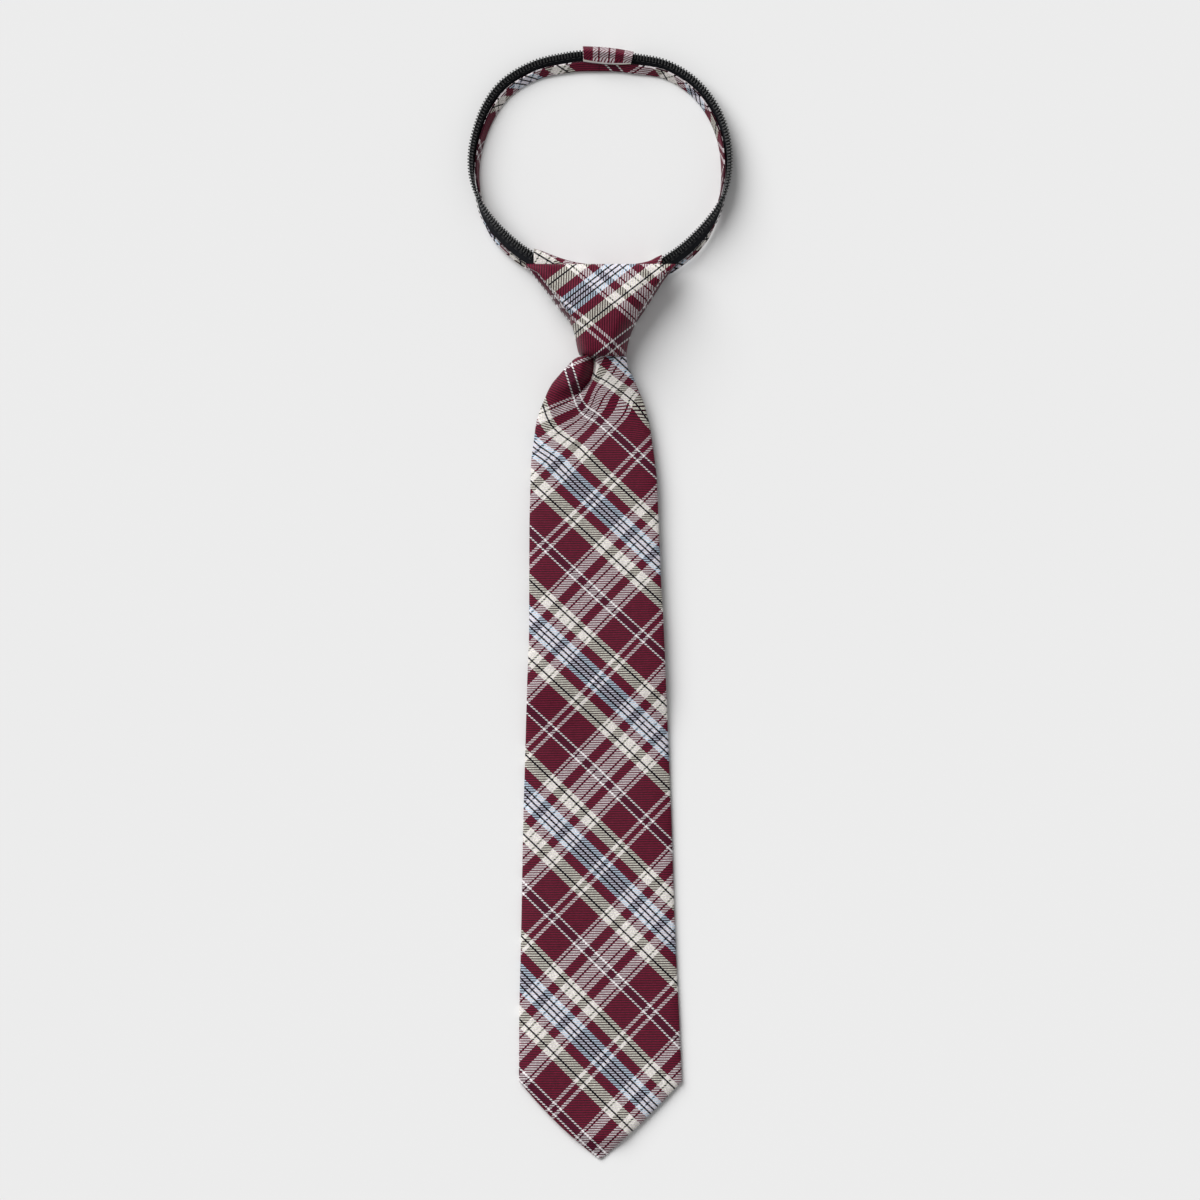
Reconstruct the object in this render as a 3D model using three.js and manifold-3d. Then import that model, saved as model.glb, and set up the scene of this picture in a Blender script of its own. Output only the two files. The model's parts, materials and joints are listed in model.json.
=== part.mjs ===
// A boys' zip-up necktie in plaid twill, lying face up with its neck loop open.
// Millimetres, +Z up, the blade points along -Y and the neck loop along +Y.
// Lengthwise places are counted from the knot's lower edge, and the finished tie is centred at the end.
import * as THREE from "three";
import { mergeVertices } from "three/addons/utils/BufferGeometryUtils.js";
import Module from "manifold-3d";

// Blade
const BLADE_LENGTH = 321.6; // knot's lower edge to tip
const BLADE_WIDTH = 65.2; // across the corners of the point
const POINT_LENGTH = 31.4; // corners to tip
const BLADE_THICKNESS = 3.6; // cloth, interlining and the turned-in back
const NECK_THICKNESS = 6; // the same cloth gathered where it leaves the knot
const NECK_TUCK = 9; // length of the gathered neck held inside the knot
const NECK_RUN = 35; // length over which the gathered neck thins out below the knot
const BLADE_EDGE = 0.35; // height of the rolled side edges, as a share of the thickness
const BLADE_SQUARE = 4; // how boxy the section between those edges is
const DIMPLE_DEPTH = 4.2; // the crease under the knot

// Knot
const KNOT_LENGTH = 36.8;
const KNOT_WIDTH = 60; // across the top corners
const KNOT_CROWN = 4.2; // rise of the front above its upper edge
const KNOT_PADDING = 2.6; // front cloth over its filling
const KNOT_SIDE = 1; // cloth at the sides
const WRAP_CLOTH = 1; // the wrap behind the knot
const WRAP_FOLD = 2.2; // rounding of the wrap's upper fold

// Neck band: a plaid strip, a zipper tape and a nylon coil side by side
const BAND_WIDTH = 8.8;
const STRIP_WIDTH = 4.4;
const STRIP_THICKNESS = 1;
const TAPE_INSET = 1.3; // plaid left showing beside the tape
const TAPE_THICKNESS = 0.9;
const COIL_WIDTH = 2.2;
const COIL_THICKNESS = 2;
const COIL_PITCH = 1.2;
const COIL_NOTCH = 0.8; // depth of the gap between two teeth
const COIL_PINCH = 0.25; // and how much thinner the coil is in that gap
const CHAIN_WIDTH = 3.6; // both coils meshed

// Neck loop
const LOOP_RADIUS = 52; // to the middle of the band, near the knot
const LOOP_OFFSET = -0.2; // the loop's centre beside the tie's centre line
const MOUTH_RISE = 2; // where the bands enter the knot, above its top edge
const MOUTH_INSET = 1.9; // and inside its corners

// Zipper below the loop
const CHAIN_OFFSET = 0.6; // the closed zipper beside the tie's centre line
const TAIL_LENGTH = 120; // closed zipper below the knot
const SLIDER_LENGTH = 9;
const SLIDER_WIDTH = 7.4;
const SLIDER_MOUTH = 0.7; // width of its narrow end, as a share of that
const SLIDER_PLATE = 1;
const SLIDER_POST = 1.6;

// Tab that joins the two bands at the back of the neck
const TAB_LEFT = 6.6; // length to the left of the loop's top
const TAB_RIGHT = 12.4;
const TAB_CLOTH = 1;
const TAB_TURN = 1.2; // how far its back leg reaches under the tape

const GAP = 0.3; // kept between neighbouring pieces

// Fineness of the curved pieces
const BAND_STEP = 3;
const LOOP_STEPS = 28;
const KNOT_STEPS = 16;
const KNOT_SECTION = 16;
const WRAP_STEPS = 18;
const BLADE_SECTION = 14;

const COLOURS = { cloth: 0x6b1730, tape: 0x14161a, coil: 0x1b1c20, slider: 0x2a2b2f };
const SIDES = { left: -1, right: 1 };

// Blade outline: down is a share of the length above the point, left and right of half the width.
// tail and neck say how much the underside is raised by the zipper tail and by the knot's back.
const BLADE_ROWS = [
  { down: 0.0, left: 0.3, right: 0.3, tail: 1, neck: 1 },
  { down: 0.012, left: 0.4, right: 0.34, tail: 1, neck: 0.95 },
  { down: 0.026, left: 0.52, right: 0.4, tail: 1, neck: 0.8 },
  { down: 0.048, left: 0.64, right: 0.47, tail: 1, neck: 0.45 },
  { down: 0.08, left: 0.74, right: 0.58, tail: 1, neck: 0.12 },
  { down: 0.125, left: 0.79, right: 0.655, tail: 1, neck: 0 },
  { down: 0.17, left: 0.825, right: 0.69, tail: 1, neck: 0 },
  { down: 0.24, left: 0.865, right: 0.718, tail: 1, neck: 0 },
  { down: 0.43, left: 0.905, right: 0.805, tail: 1, neck: 0 },
  { down: 0.54, left: 0.93, right: 0.845, tail: 0.15, neck: 0 },
  { down: 0.66, left: 0.951, right: 0.877, tail: 0, neck: 0 },
  { down: 0.86, left: 0.985, right: 0.939, tail: 0, neck: 0 },
  { down: 1.0, left: 1.0, right: 1.0, tail: 0, neck: 0 },
];

// Dimple: crease is its place across the blade from the left edge, depth and lobe of DIMPLE_DEPTH.
const DIMPLE_ROWS = [
  { down: 0.0, crease: 0.36, depth: 0.6, width: 0.12, lobe: 0.1 },
  { down: 0.025, crease: 0.42, depth: 1.0, width: 0.14, lobe: 0.25 },
  { down: 0.05, crease: 0.38, depth: 0.95, width: 0.17, lobe: 0.4 },
  { down: 0.08, crease: 0.3, depth: 0.6, width: 0.22, lobe: 0.25 },
  { down: 0.12, crease: 0.24, depth: 0.2, width: 0.26, lobe: 0.1 },
  { down: 0.17, crease: 0.2, depth: 0, width: 0.3, lobe: 0 },
  { down: 1.0, crease: 0.2, depth: 0, width: 0.3, lobe: 0 },
];

// Knot front: up is a share of its length, left and right of half its width, crown of KNOT_CROWN.
// foot says how much of the wrap's height its sides stop short of the surface, square how boxy a section is.
const KNOT_ROWS = [
  { up: 0.0, left: 0.306, right: 0.345, crown: 0.1, foot: 0, square: 2.6 },
  { up: 0.03, left: 0.312, right: 0.35, crown: 0.35, foot: 0, square: 2.6 },
  { up: 0.1, left: 0.322, right: 0.36, crown: 0.6, foot: 0, square: 2.7 },
  { up: 0.2, left: 0.34, right: 0.39, crown: 0.8, foot: 0, square: 2.8 },
  { up: 0.3, left: 0.37, right: 0.43, crown: 0.92, foot: 0, square: 3 },
  { up: 0.4, left: 0.433, right: 0.5, crown: 0.98, foot: 0, square: 3.2 },
  { up: 0.51, left: 0.553, right: 0.593, crown: 1, foot: 0, square: 3.5 },
  { up: 0.62, left: 0.65, right: 0.68, crown: 0.95, foot: 0, square: 4 },
  { up: 0.72, left: 0.74, right: 0.757, crown: 0.85, foot: 0.2, square: 4.5 },
  { up: 0.82, left: 0.84, right: 0.84, crown: 0.66, foot: 0.6, square: 5 },
  { up: 0.91, left: 0.925, right: 0.925, crown: 0.46, foot: 0.92, square: 5 },
  { up: 1.0, left: 0.993, right: 1.007, crown: 0.26, foot: 1, square: 5 },
];

// Wrap behind the knot: across is a share of half the knot's width, rise and tuck of its length.
const WRAP_ROWS = [
  { across: -0.887, rise: 0.2, tuck: 0.02 },
  { across: -0.78, rise: 0.175, tuck: 0.05 },
  { across: -0.66, rise: 0.12, tuck: 0.1 },
  { across: -0.5, rise: 0.055, tuck: 0.16 },
  { across: -0.25, rise: 0.01, tuck: 0.2 },
  { across: 0.0, rise: -0.01, tuck: 0.2 },
  { across: 0.3, rise: -0.01, tuck: 0.2 },
  { across: 0.5, rise: 0.015, tuck: 0.16 },
  { across: 0.64, rise: 0.05, tuck: 0.1 },
  { across: 0.74, rise: 0.11, tuck: 0.06 },
  { across: 0.817, rise: 0.145, tuck: 0.03 },
];

// Neck loop: around is a share of the way from the top to the knot, radius of LOOP_RADIUS.
// lean turns the coil edge up from pointing at the loop's middle, in degrees.
// lift is a share of the height that the slider holds the zipper above the surface.
const LOOP_ROWS = {
  left: [
    { around: 0.0, radius: 0.713, lean: 135, lift: 0 },
    { around: 0.136, radius: 0.74, lean: 128, lift: 0 },
    { around: 0.272, radius: 0.808, lean: 130, lift: 0 },
    { around: 0.408, radius: 0.875, lean: 128, lift: 0 },
    { around: 0.544, radius: 0.925, lean: 115, lift: 0 },
    { around: 0.68, radius: 0.981, lean: 101, lift: 0 },
    { around: 0.748, radius: 0.998, lean: 88, lift: 0.1 },
    { around: 0.82, radius: 1.004, lean: 60, lift: 0.4 },
    { around: 0.91, radius: 0.988, lean: 42, lift: 0.75 },
    { around: 1.0, radius: 0.979, lean: 38, lift: 0.95 },
  ],
  right: [
    { around: 0.0, radius: 0.713, lean: 135, lift: 0 },
    { around: 0.136, radius: 0.729, lean: 128, lift: 0 },
    { around: 0.272, radius: 0.813, lean: 127, lift: 0 },
    { around: 0.408, radius: 0.879, lean: 118, lift: 0 },
    { around: 0.544, radius: 0.937, lean: 111, lift: 0 },
    { around: 0.68, radius: 0.981, lean: 99, lift: 0 },
    { around: 0.748, radius: 1.004, lean: 88, lift: 0.1 },
    { around: 0.82, radius: 1.008, lean: 62, lift: 0.4 },
    { around: 0.91, radius: 1.004, lean: 43, lift: 0.75 },
    { around: 1.0, radius: 1.0, lean: 38, lift: 0.95 },
  ],
};

// Way through the knot: aside is a share of the mouth's distance from the closed zipper, up of the knot's length.
const THROAT_ROWS = [
  { aside: 0.765, up: 0.93, lean: 28, lift: 1 },
  { aside: 0.53, up: 0.83, lean: 16, lift: 1 },
  { aside: 0.31, up: 0.7, lean: 6, lift: 1 },
  { aside: 0.13, up: 0.54, lean: 0, lift: 1 },
  { aside: 0.04, up: 0.44, lean: 0, lift: 1 },
  { aside: 0.005, up: 0.36, lean: 0, lift: 1 },
  { aside: 0, up: 0.3, lean: 0, lift: 1 },
  { aside: 0, up: 0, lean: 0, lift: 1 },
];

// Heights of the flat zipper's layers, and what raises it inside the knot
const STRIP_DROP = GAP + STRIP_THICKNESS;
const COIL_DROP = (COIL_THICKNESS - TAPE_THICKNESS) / 2;
const ZIPPER_TOP = STRIP_DROP + TAPE_THICKNESS + COIL_DROP;
const SLIDER_RISE = 3 * GAP + WRAP_CLOTH + SLIDER_PLATE + COIL_DROP - STRIP_DROP;
const TAIL_SETTLE = 14; // the zipper comes down to the surface this far below the knot

// Places across the band, counted from its plaid edge
const TAPE_EDGE = BAND_WIDTH - COIL_WIDTH - GAP;
const CHAIN_ASIDE = CHAIN_WIDTH / 2 + GAP + TAPE_EDGE - BAND_WIDTH / 2;
const PARTING = BAND_WIDTH / 2 + GAP; // middle of the band where its coil meets the other
const MOUTH_ASIDE = KNOT_WIDTH / 2 - MOUTH_INSET;
const MOUTH_ANGLE = Math.PI - Math.asin(MOUTH_ASIDE / LOOP_RADIUS);
const LOOP_CENTRE = KNOT_LENGTH + MOUTH_RISE - LOOP_RADIUS * Math.cos(MOUTH_ANGLE);

// Value of one column of a table at a place along its first column, on a smooth curve with no overshoot.
function readTable(rows, along, column, at) {
  const last = rows.length - 1;
  let i = 0;
  while (i < last - 1 && at > rows[i + 1][along]) i += 1;
  const slope = (k) => (rows[k + 1][column] - rows[k][column]) / (rows[k + 1][along] - rows[k][along]);
  const tangent = (k) => {
    if (k === 0) return slope(0);
    if (k === last) return slope(last - 1);
    const before = slope(k - 1);
    const after = slope(k);
    return before * after <= 0 ? 0 : (2 * before * after) / (before + after);
  };
  const step = rows[i + 1][along] - rows[i][along];
  const t = THREE.MathUtils.clamp((at - rows[i][along]) / step, 0, 1);
  const t2 = t * t;
  const t3 = t2 * t;
  return (
    (2 * t3 - 3 * t2 + 1) * rows[i][column] +
    (t3 - 2 * t2 + t) * step * tangent(i) +
    (3 * t2 - 2 * t3) * rows[i + 1][column] +
    (t3 - t2) * step * tangent(i + 1)
  );
}

// Closed body through rings of as many points each. flat turns a ring into 2-D points for its end caps.
function loft(rings, flat) {
  const size = rings[0].length;
  const index = [];
  for (let r = 0; r < rings.length - 1; r += 1) {
    for (let i = 0; i < size; i += 1) {
      const a = r * size + i;
      const b = r * size + ((i + 1) % size);
      index.push(a, b, b + size, a, b + size, a + size);
    }
  }
  [0, rings.length - 1].forEach((r, end) => {
    const shape = rings[r].map(flat);
    const backwards = THREE.ShapeUtils.area(shape) < 0;
    for (const corners of THREE.ShapeUtils.triangulateShape(shape, [])) {
      const triangle = corners.map((corner) => r * size + corner);
      index.push(...((end === 0) === backwards ? triangle : triangle.reverse()));
    }
  });
  const geometry = new THREE.BufferGeometry().setFromPoints(rings.flat());
  geometry.setIndex(index);
  return facingOut(geometry);
}

// Turns all faces round where the body's faces point inwards.
function facingOut(geometry) {
  const place = geometry.getAttribute("position");
  const index = geometry.index.array;
  const corner = (i) => new THREE.Vector3().fromBufferAttribute(place, index[i]);
  let volume = 0;
  for (let i = 0; i < index.length; i += 3) {
    volume += corner(i).dot(corner(i + 1).cross(corner(i + 2)));
  }
  if (volume < 0) {
    for (let i = 0; i < index.length; i += 3) {
      [index[i + 1], index[i + 2]] = [index[i + 2], index[i + 1]];
    }
  }
  geometry.computeVertexNormals();
  return geometry;
}

// Lowest height at which a band that leans so far clears the surface.
function standing(lean) {
  const half = BAND_WIDTH / 2;
  const corners = [
    [-half, -STRIP_DROP],
    [-half, -GAP],
    [TAPE_INSET - half, TAPE_THICKNESS],
    [half, -COIL_DROP],
    [half, TAPE_THICKNESS + COIL_DROP],
  ];
  return Math.max(...corners.map(([u, v]) => -(u * Math.sin(lean) + v * Math.cos(lean))));
}

// The wrap's fold is as high as the bands' coil edges need where they enter it.
const MOUTH_LEAN = THREE.MathUtils.degToRad(LOOP_ROWS.left.at(-1).lean);
const MOUTH_TOP =
  standing(MOUTH_LEAN) +
  SLIDER_RISE +
  (BAND_WIDTH / 2) * Math.sin(MOUTH_LEAN) +
  (TAPE_THICKNESS + COIL_DROP) * Math.cos(MOUTH_LEAN);
const WRAP_TOP = MOUTH_TOP + GAP + WRAP_CLOTH;

// Half-width of the knot on one side of the tie's centre line.
function knotSide(up, side) {
  return (readTable(KNOT_ROWS, "up", side, up) * KNOT_WIDTH) / 2;
}

// The knot front's section: its middle, half-width, lower and upper height, less the cloth on the inside.
function knotArch(up, inside) {
  const left = knotSide(up, "left") - (inside ? KNOT_SIDE : 0);
  const right = knotSide(up, "right") - (inside ? KNOT_SIDE : 0);
  const crown = readTable(KNOT_ROWS, "up", "crown", up) * KNOT_CROWN;
  return {
    middle: (right - left) / 2,
    half: (right + left) / 2,
    foot: readTable(KNOT_ROWS, "up", "foot", up) * WRAP_TOP,
    top: WRAP_TOP + GAP + crown + (inside ? 0 : KNOT_PADDING),
    square: readTable(KNOT_ROWS, "up", "square", up),
  };
}

// Height of the knot front's inside over a place.
function knotRoof(x, up) {
  const arch = knotArch(up, true);
  const share = Math.min(1, Math.abs(x - arch.middle) / arch.half);
  return arch.foot + (arch.top - arch.foot) * (1 - share ** arch.square) ** (1 / arch.square);
}

function knotRing(up) {
  const ring = [];
  for (const inside of [false, true]) {
    const arch = knotArch(up, inside);
    const power = 2 / arch.square;
    for (let i = 0; i <= KNOT_SECTION; i += 1) {
      const turn = (Math.PI * (inside ? KNOT_SECTION - i : i)) / KNOT_SECTION;
      const aside = Math.sign(Math.cos(turn)) * Math.abs(Math.cos(turn)) ** power;
      const rise = Math.abs(Math.sin(turn)) ** power;
      const z = arch.foot + (arch.top - arch.foot) * (rise < 1e-6 ? 0 : rise);
      ring.push(new THREE.Vector3(arch.middle + arch.half * aside, up * KNOT_LENGTH, z));
    }
  }
  return ring;
}

function knotFront() {
  const rings = [];
  for (let i = 0; i <= KNOT_STEPS; i += 1) rings.push(knotRing(i / KNOT_STEPS));
  return loft(rings, (p) => new THREE.Vector2(p.x, p.z));
}

// Lowest place along the knot at which the cloth behind it clears the knot's sides.
function wrapFloor(x) {
  const room = (up) => knotSide(up, x < 0 ? "left" : "right") - KNOT_SIDE - 2 * GAP;
  const steps = 200;
  let i = steps;
  while (i > 0 && Math.abs(x) < room((i - 1) / steps)) i -= 1;
  return (i / steps) * KNOT_LENGTH;
}

// Section of the wrap: the back cloth, the fold over the bands, and the free edge under the front.
function wrapRing(across) {
  const x = (across * KNOT_WIDTH) / 2;
  const top = KNOT_LENGTH * (1 + readTable(WRAP_ROWS, "across", "rise", across));
  const free = KNOT_LENGTH * (1 - readTable(WRAP_ROWS, "across", "tuck", across));
  const floor = Math.min(wrapFloor(x), free - WRAP_CLOTH);
  const face = (inset) => {
    const radius = WRAP_FOLD - inset;
    const low = GAP + WRAP_FOLD;
    const high = WRAP_TOP - WRAP_FOLD;
    const points = [new THREE.Vector2(floor, GAP + inset)];
    for (const [first, height] of [[-90, low], [0, high]]) {
      for (let degrees = first; degrees <= first + 90; degrees += 30) {
        const turn = THREE.MathUtils.degToRad(degrees);
        const y = top - WRAP_FOLD + radius * Math.cos(turn);
        points.push(new THREE.Vector2(y, height + radius * Math.sin(turn)));
      }
    }
    points.push(new THREE.Vector2(Math.min(free, top - WRAP_FOLD - GAP), WRAP_TOP - inset));
    return points;
  };
  const section = [...face(0), ...face(WRAP_CLOTH).reverse()];
  return section.map((p) => new THREE.Vector3(x, p.x, p.y));
}

function knotBack() {
  const rings = [];
  const first = WRAP_ROWS[0].across;
  const last = WRAP_ROWS.at(-1).across;
  for (let i = 0; i <= WRAP_STEPS; i += 1) {
    rings.push(wrapRing(first + ((last - first) * i) / WRAP_STEPS));
  }
  return loft(rings, (p) => new THREE.Vector2(p.y, p.z));
}

// Height of the dimple's crease and of the lobe to its left, at a place down and across the blade.
function dimple(down, share) {
  const read = (column) => readTable(DIMPLE_ROWS, "down", column, down);
  const bell = (middle) => Math.exp(-(((share - middle) / read("width")) ** 2));
  const crease = read("crease");
  return DIMPLE_DEPTH * (read("lobe") * bell(crease - 2 * read("width")) - read("depth") * bell(crease));
}

// Section of the blade, flat underneath; narrow shrinks it towards the tip.
function bladeRing(down, narrow) {
  const read = (column) => readTable(BLADE_ROWS, "down", column, down);
  const y = -down * (BLADE_LENGTH - POINT_LENGTH) - (1 - narrow) * POINT_LENGTH;
  const left = (-read("left") * narrow * BLADE_WIDTH) / 2;
  const right = (read("right") * narrow * BLADE_WIDTH) / 2;
  const gathered = Math.max(0, 1 + y / NECK_RUN) ** 2;
  const thickness = THREE.MathUtils.lerp(BLADE_THICKNESS, NECK_THICKNESS, gathered);
  const floor = read("tail") * (ZIPPER_TOP + GAP) + read("neck") * SLIDER_RISE;
  const top = [];
  const bottom = [];
  for (let i = 0; i <= BLADE_SECTION; i += 1) {
    const share = (1 - Math.cos((Math.PI * i) / BLADE_SECTION)) / 2;
    const crown = Math.sqrt(1 - Math.abs(2 * share - 1) ** BLADE_SQUARE);
    const plain = thickness * THREE.MathUtils.lerp(BLADE_EDGE, 1, crown);
    const height = plain + dimple(down, share) * crown * narrow;
    const x = left + (right - left) * share;
    top.push(new THREE.Vector3(x, y, floor + Math.max(1, height)));
    bottom.push(new THREE.Vector3(x, y, floor));
  }
  return [...top, ...bottom.reverse()];
}

// The gathered neck goes on into the knot, narrowed to its sides and kept under its front.
function neckRing(tuck) {
  const up = (tuck * NECK_TUCK) / KNOT_LENGTH;
  const ring = bladeRing(0, 1);
  const widest = Math.max(...ring.map((p) => Math.abs(p.x)));
  const room = knotSide(0, "left") - KNOT_SIDE - 2 * GAP;
  return ring.map((p) => {
    const x = (p.x * room) / widest;
    const z = Math.min(p.z, knotRoof(x, up) - 2 * GAP);
    return new THREE.Vector3(x, up * KNOT_LENGTH, z);
  });
}

function blade() {
  const rings = [1, 0.5, 0, -GAP / NECK_TUCK].map(neckRing);
  for (let down = 0.006; down < 0.18; down += 0.014) rings.push(bladeRing(down, 1));
  for (const down of [0.24, 0.34, 0.42, 0.47, 0.52, 0.58, 0.66, 0.76, 0.88, 1]) {
    rings.push(bladeRing(down, 1));
  }
  for (const narrow of [0.66, 0.33, 0.02]) rings.push(bladeRing(1, narrow));
  return loft(rings, (p) => new THREE.Vector2(p.x, p.z));
}

// Route of one band: from the top of the loop to the knot, through it, and down behind the blade.
class BandRoute {
  constructor(side) {
    this.sign = SIDES[side];
    this.places = [];
    this.leans = [];
    const [top, next] = LOOP_ROWS[side];
    const mirrored = { ...next, around: -next.around }; // keeps the loop level at its top
    const rows = [mirrored, ...LOOP_ROWS[side]];
    const read = (column, around) => readTable(rows, "around", column, around);
    const start = GAP / 2 / (LOOP_RADIUS * top.radius * MOUTH_ANGLE);
    for (const around of spacing(start, 1, (1 - start) / LOOP_STEPS)) {
      const radius = read("radius", around) * LOOP_RADIUS;
      const angle = this.sign * around * MOUTH_ANGLE;
      const x = LOOP_OFFSET + radius * Math.sin(angle);
      const y = LOOP_CENTRE + radius * Math.cos(angle);
      this.add(x, y, read("lean", around), read("lift", around));
    }
    for (const row of THROAT_ROWS) {
      const aside = CHAIN_ASIDE + row.aside * (MOUTH_ASIDE - CHAIN_ASIDE);
      this.add(CHAIN_OFFSET + this.sign * aside, row.up * KNOT_LENGTH, row.lean, row.lift);
    }
    const x = CHAIN_OFFSET + this.sign * CHAIN_ASIDE;
    this.add(x, -TAIL_SETTLE, 0, 0);
    this.add(x, -TAIL_SETTLE - BAND_STEP, 0, 0);
    this.add(x, -TAIL_LENGTH, 0, 0);
    this.curve = new THREE.CatmullRomCurve3(this.places, false, "centripetal");
    this.curve.arcLengthDivisions = 800;
    this.length = this.curve.getLength();
  }

  add(x, y, degrees, lift) {
    const lean = THREE.MathUtils.degToRad(degrees);
    this.places.push(new THREE.Vector3(x, y, standing(lean) + lift * SLIDER_RISE));
    this.leans.push(lean);
  }

  // Place at a distance from the loop's top, with the band's width direction u and thickness direction v.
  station(distance) {
    const t = this.curve.getUtoTmapping(0, distance);
    const along = t * (this.leans.length - 1);
    const i = Math.min(Math.floor(along), this.leans.length - 2);
    const lean = THREE.MathUtils.lerp(this.leans[i], this.leans[i + 1], along - i);
    const tangent = this.curve.getTangent(t);
    const up = new THREE.Vector3(0, 0, 1);
    const inward = up.clone().cross(tangent).normalize().multiplyScalar(-this.sign);
    const raised = tangent.clone().cross(inward).multiplyScalar(-this.sign);
    return {
      at: this.curve.getPoint(t),
      u: inward.clone().multiplyScalar(Math.cos(lean)).addScaledVector(raised, Math.sin(lean)),
      v: inward.clone().multiplyScalar(-Math.sin(lean)).addScaledVector(raised, Math.cos(lean)),
    };
  }

  // Distance from the loop's top at which the band's middle first comes so near the closed zipper.
  reach(aside) {
    let distance = this.length / 4;
    while (Math.abs(this.station(distance).at.x - CHAIN_OFFSET) > aside) distance += 0.1;
    return distance;
  }
}

// Section corners in the band's own directions, set at a station of its route.
function sectionAt(station, corners) {
  return corners.map(([u, v]) =>
    station.at
      .clone()
      .addScaledVector(station.u, u - BAND_WIDTH / 2)
      .addScaledVector(station.v, v),
  );
}

const CORNERS = {
  strip: [[0, -STRIP_DROP], [STRIP_WIDTH, -STRIP_DROP], [STRIP_WIDTH, -GAP], [0, -GAP]],
  tape: [[TAPE_INSET, 0], [TAPE_EDGE, 0], [TAPE_EDGE, TAPE_THICKNESS], [TAPE_INSET, TAPE_THICKNESS]],
};

// The caps of a band's section are seen along the band, so its corners serve as 2-D points.
function bandLoft(stations, cornersOf) {
  const rings = stations.map((station, i) => sectionAt(station, cornersOf(i)));
  let i = 0;
  const flat = () => new THREE.Vector2(...cornersOf(0)[i++ % cornersOf(0).length]);
  return loft(rings, flat);
}

function spacing(from, to, step) {
  const count = Math.ceil((to - from) / step);
  return Array.from({ length: count + 1 }, (_, i) => from + ((to - from) * i) / count);
}

// Strip or tape along the whole route, with long steps down the straight tail.
function bandPiece(route, corners) {
  const bends = route.length - TAIL_LENGTH + TAIL_SETTLE;
  const distances = [
    ...spacing(0, bends, BAND_STEP),
    ...spacing(bends + BAND_STEP, route.length, TAIL_LENGTH / 3),
  ];
  return bandLoft(distances.map((d) => route.station(d)), () => corners);
}

// Coil from the loop's top to the slider, with a tooth and a notch in each pitch.
function coil(route) {
  const distances = spacing(0, route.reach(PARTING), COIL_PITCH / 2);
  const cornersOf = (i) => {
    const tip = BAND_WIDTH - (i % 2 ? COIL_NOTCH : 0);
    const root = TAPE_EDGE + GAP;
    const pinch = i % 2 ? COIL_PINCH : 0;
    const low = pinch - COIL_DROP;
    const high = TAPE_THICKNESS + COIL_DROP - pinch;
    return [[root, low], [tip, low], [tip, high], [root, high]];
  };
  return bandLoft(distances.map((d) => route.station(d)), cornersOf);
}

function closedCoil(from) {
  const height = SLIDER_RISE + STRIP_DROP - COIL_DROP;
  const rows = [[from, height], [0, height], [-TAIL_SETTLE, STRIP_DROP - COIL_DROP]];
  rows.push([-TAIL_LENGTH, STRIP_DROP - COIL_DROP]);
  const rings = rows.map(([y, z]) => {
    const corners = [[-1, 0], [1, 0], [1, COIL_THICKNESS], [-1, COIL_THICKNESS]];
    return corners.map(([side, high]) => {
      const x = CHAIN_OFFSET + (side * CHAIN_WIDTH) / 2;
      return new THREE.Vector3(x, y, z + high);
    });
  });
  return loft(rings, (p) => new THREE.Vector2(p.x, p.z));
}

// Solid of a closed mesh, for joining.
function solidOf(wasm, geometry) {
  const bare = geometry.clone();
  bare.deleteAttribute("normal");
  bare.deleteAttribute("uv");
  const merged = mergeVertices(bare, 1e-4);
  const mesh = new wasm.Mesh({
    numProp: 3,
    vertProperties: new Float32Array(merged.getAttribute("position").array),
    triVerts: new Uint32Array(merged.index.array),
  });
  return new wasm.Manifold(mesh);
}

function geometryOf(solid) {
  const mesh = solid.getMesh();
  const geometry = new THREE.BufferGeometry();
  geometry.setAttribute("position", new THREE.BufferAttribute(mesh.vertProperties, 3));
  geometry.setIndex(new THREE.BufferAttribute(mesh.triVerts, 1));
  geometry.computeVertexNormals();
  return geometry;
}

// Slider: an upper and a lower plate held together by a post between the parting coils.
function slider(wasm, middle) {
  const low = SLIDER_RISE + STRIP_DROP - COIL_DROP - GAP - SLIDER_PLATE;
  const inside = COIL_THICKNESS + 2 * GAP;
  const outline = new THREE.Shape();
  const half = SLIDER_WIDTH / 2;
  const end = SLIDER_LENGTH / 2;
  const mouth = half * SLIDER_MOUTH;
  outline.moveTo(-mouth, -end);
  outline.lineTo(mouth, -end);
  outline.quadraticCurveTo(half, 0, half, end / 2);
  outline.quadraticCurveTo(half, end, 0, end);
  outline.quadraticCurveTo(-half, end, -half, end / 2);
  outline.quadraticCurveTo(-half, 0, -mouth, -end);
  const plate = () =>
    new THREE.ExtrudeGeometry(outline, { depth: SLIDER_PLATE, bevelEnabled: false, curveSegments: 5 });
  const post = new THREE.BoxGeometry(SLIDER_POST, SLIDER_POST, inside + SLIDER_PLATE);
  post.translate(0, end - SLIDER_POST, SLIDER_PLATE + inside / 2);
  const joined = solidOf(wasm, plate())
    .add(solidOf(wasm, plate().translate(0, 0, SLIDER_PLATE + inside)))
    .add(solidOf(wasm, post));
  return geometryOf(joined).translate(CHAIN_OFFSET, middle, low);
}

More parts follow.
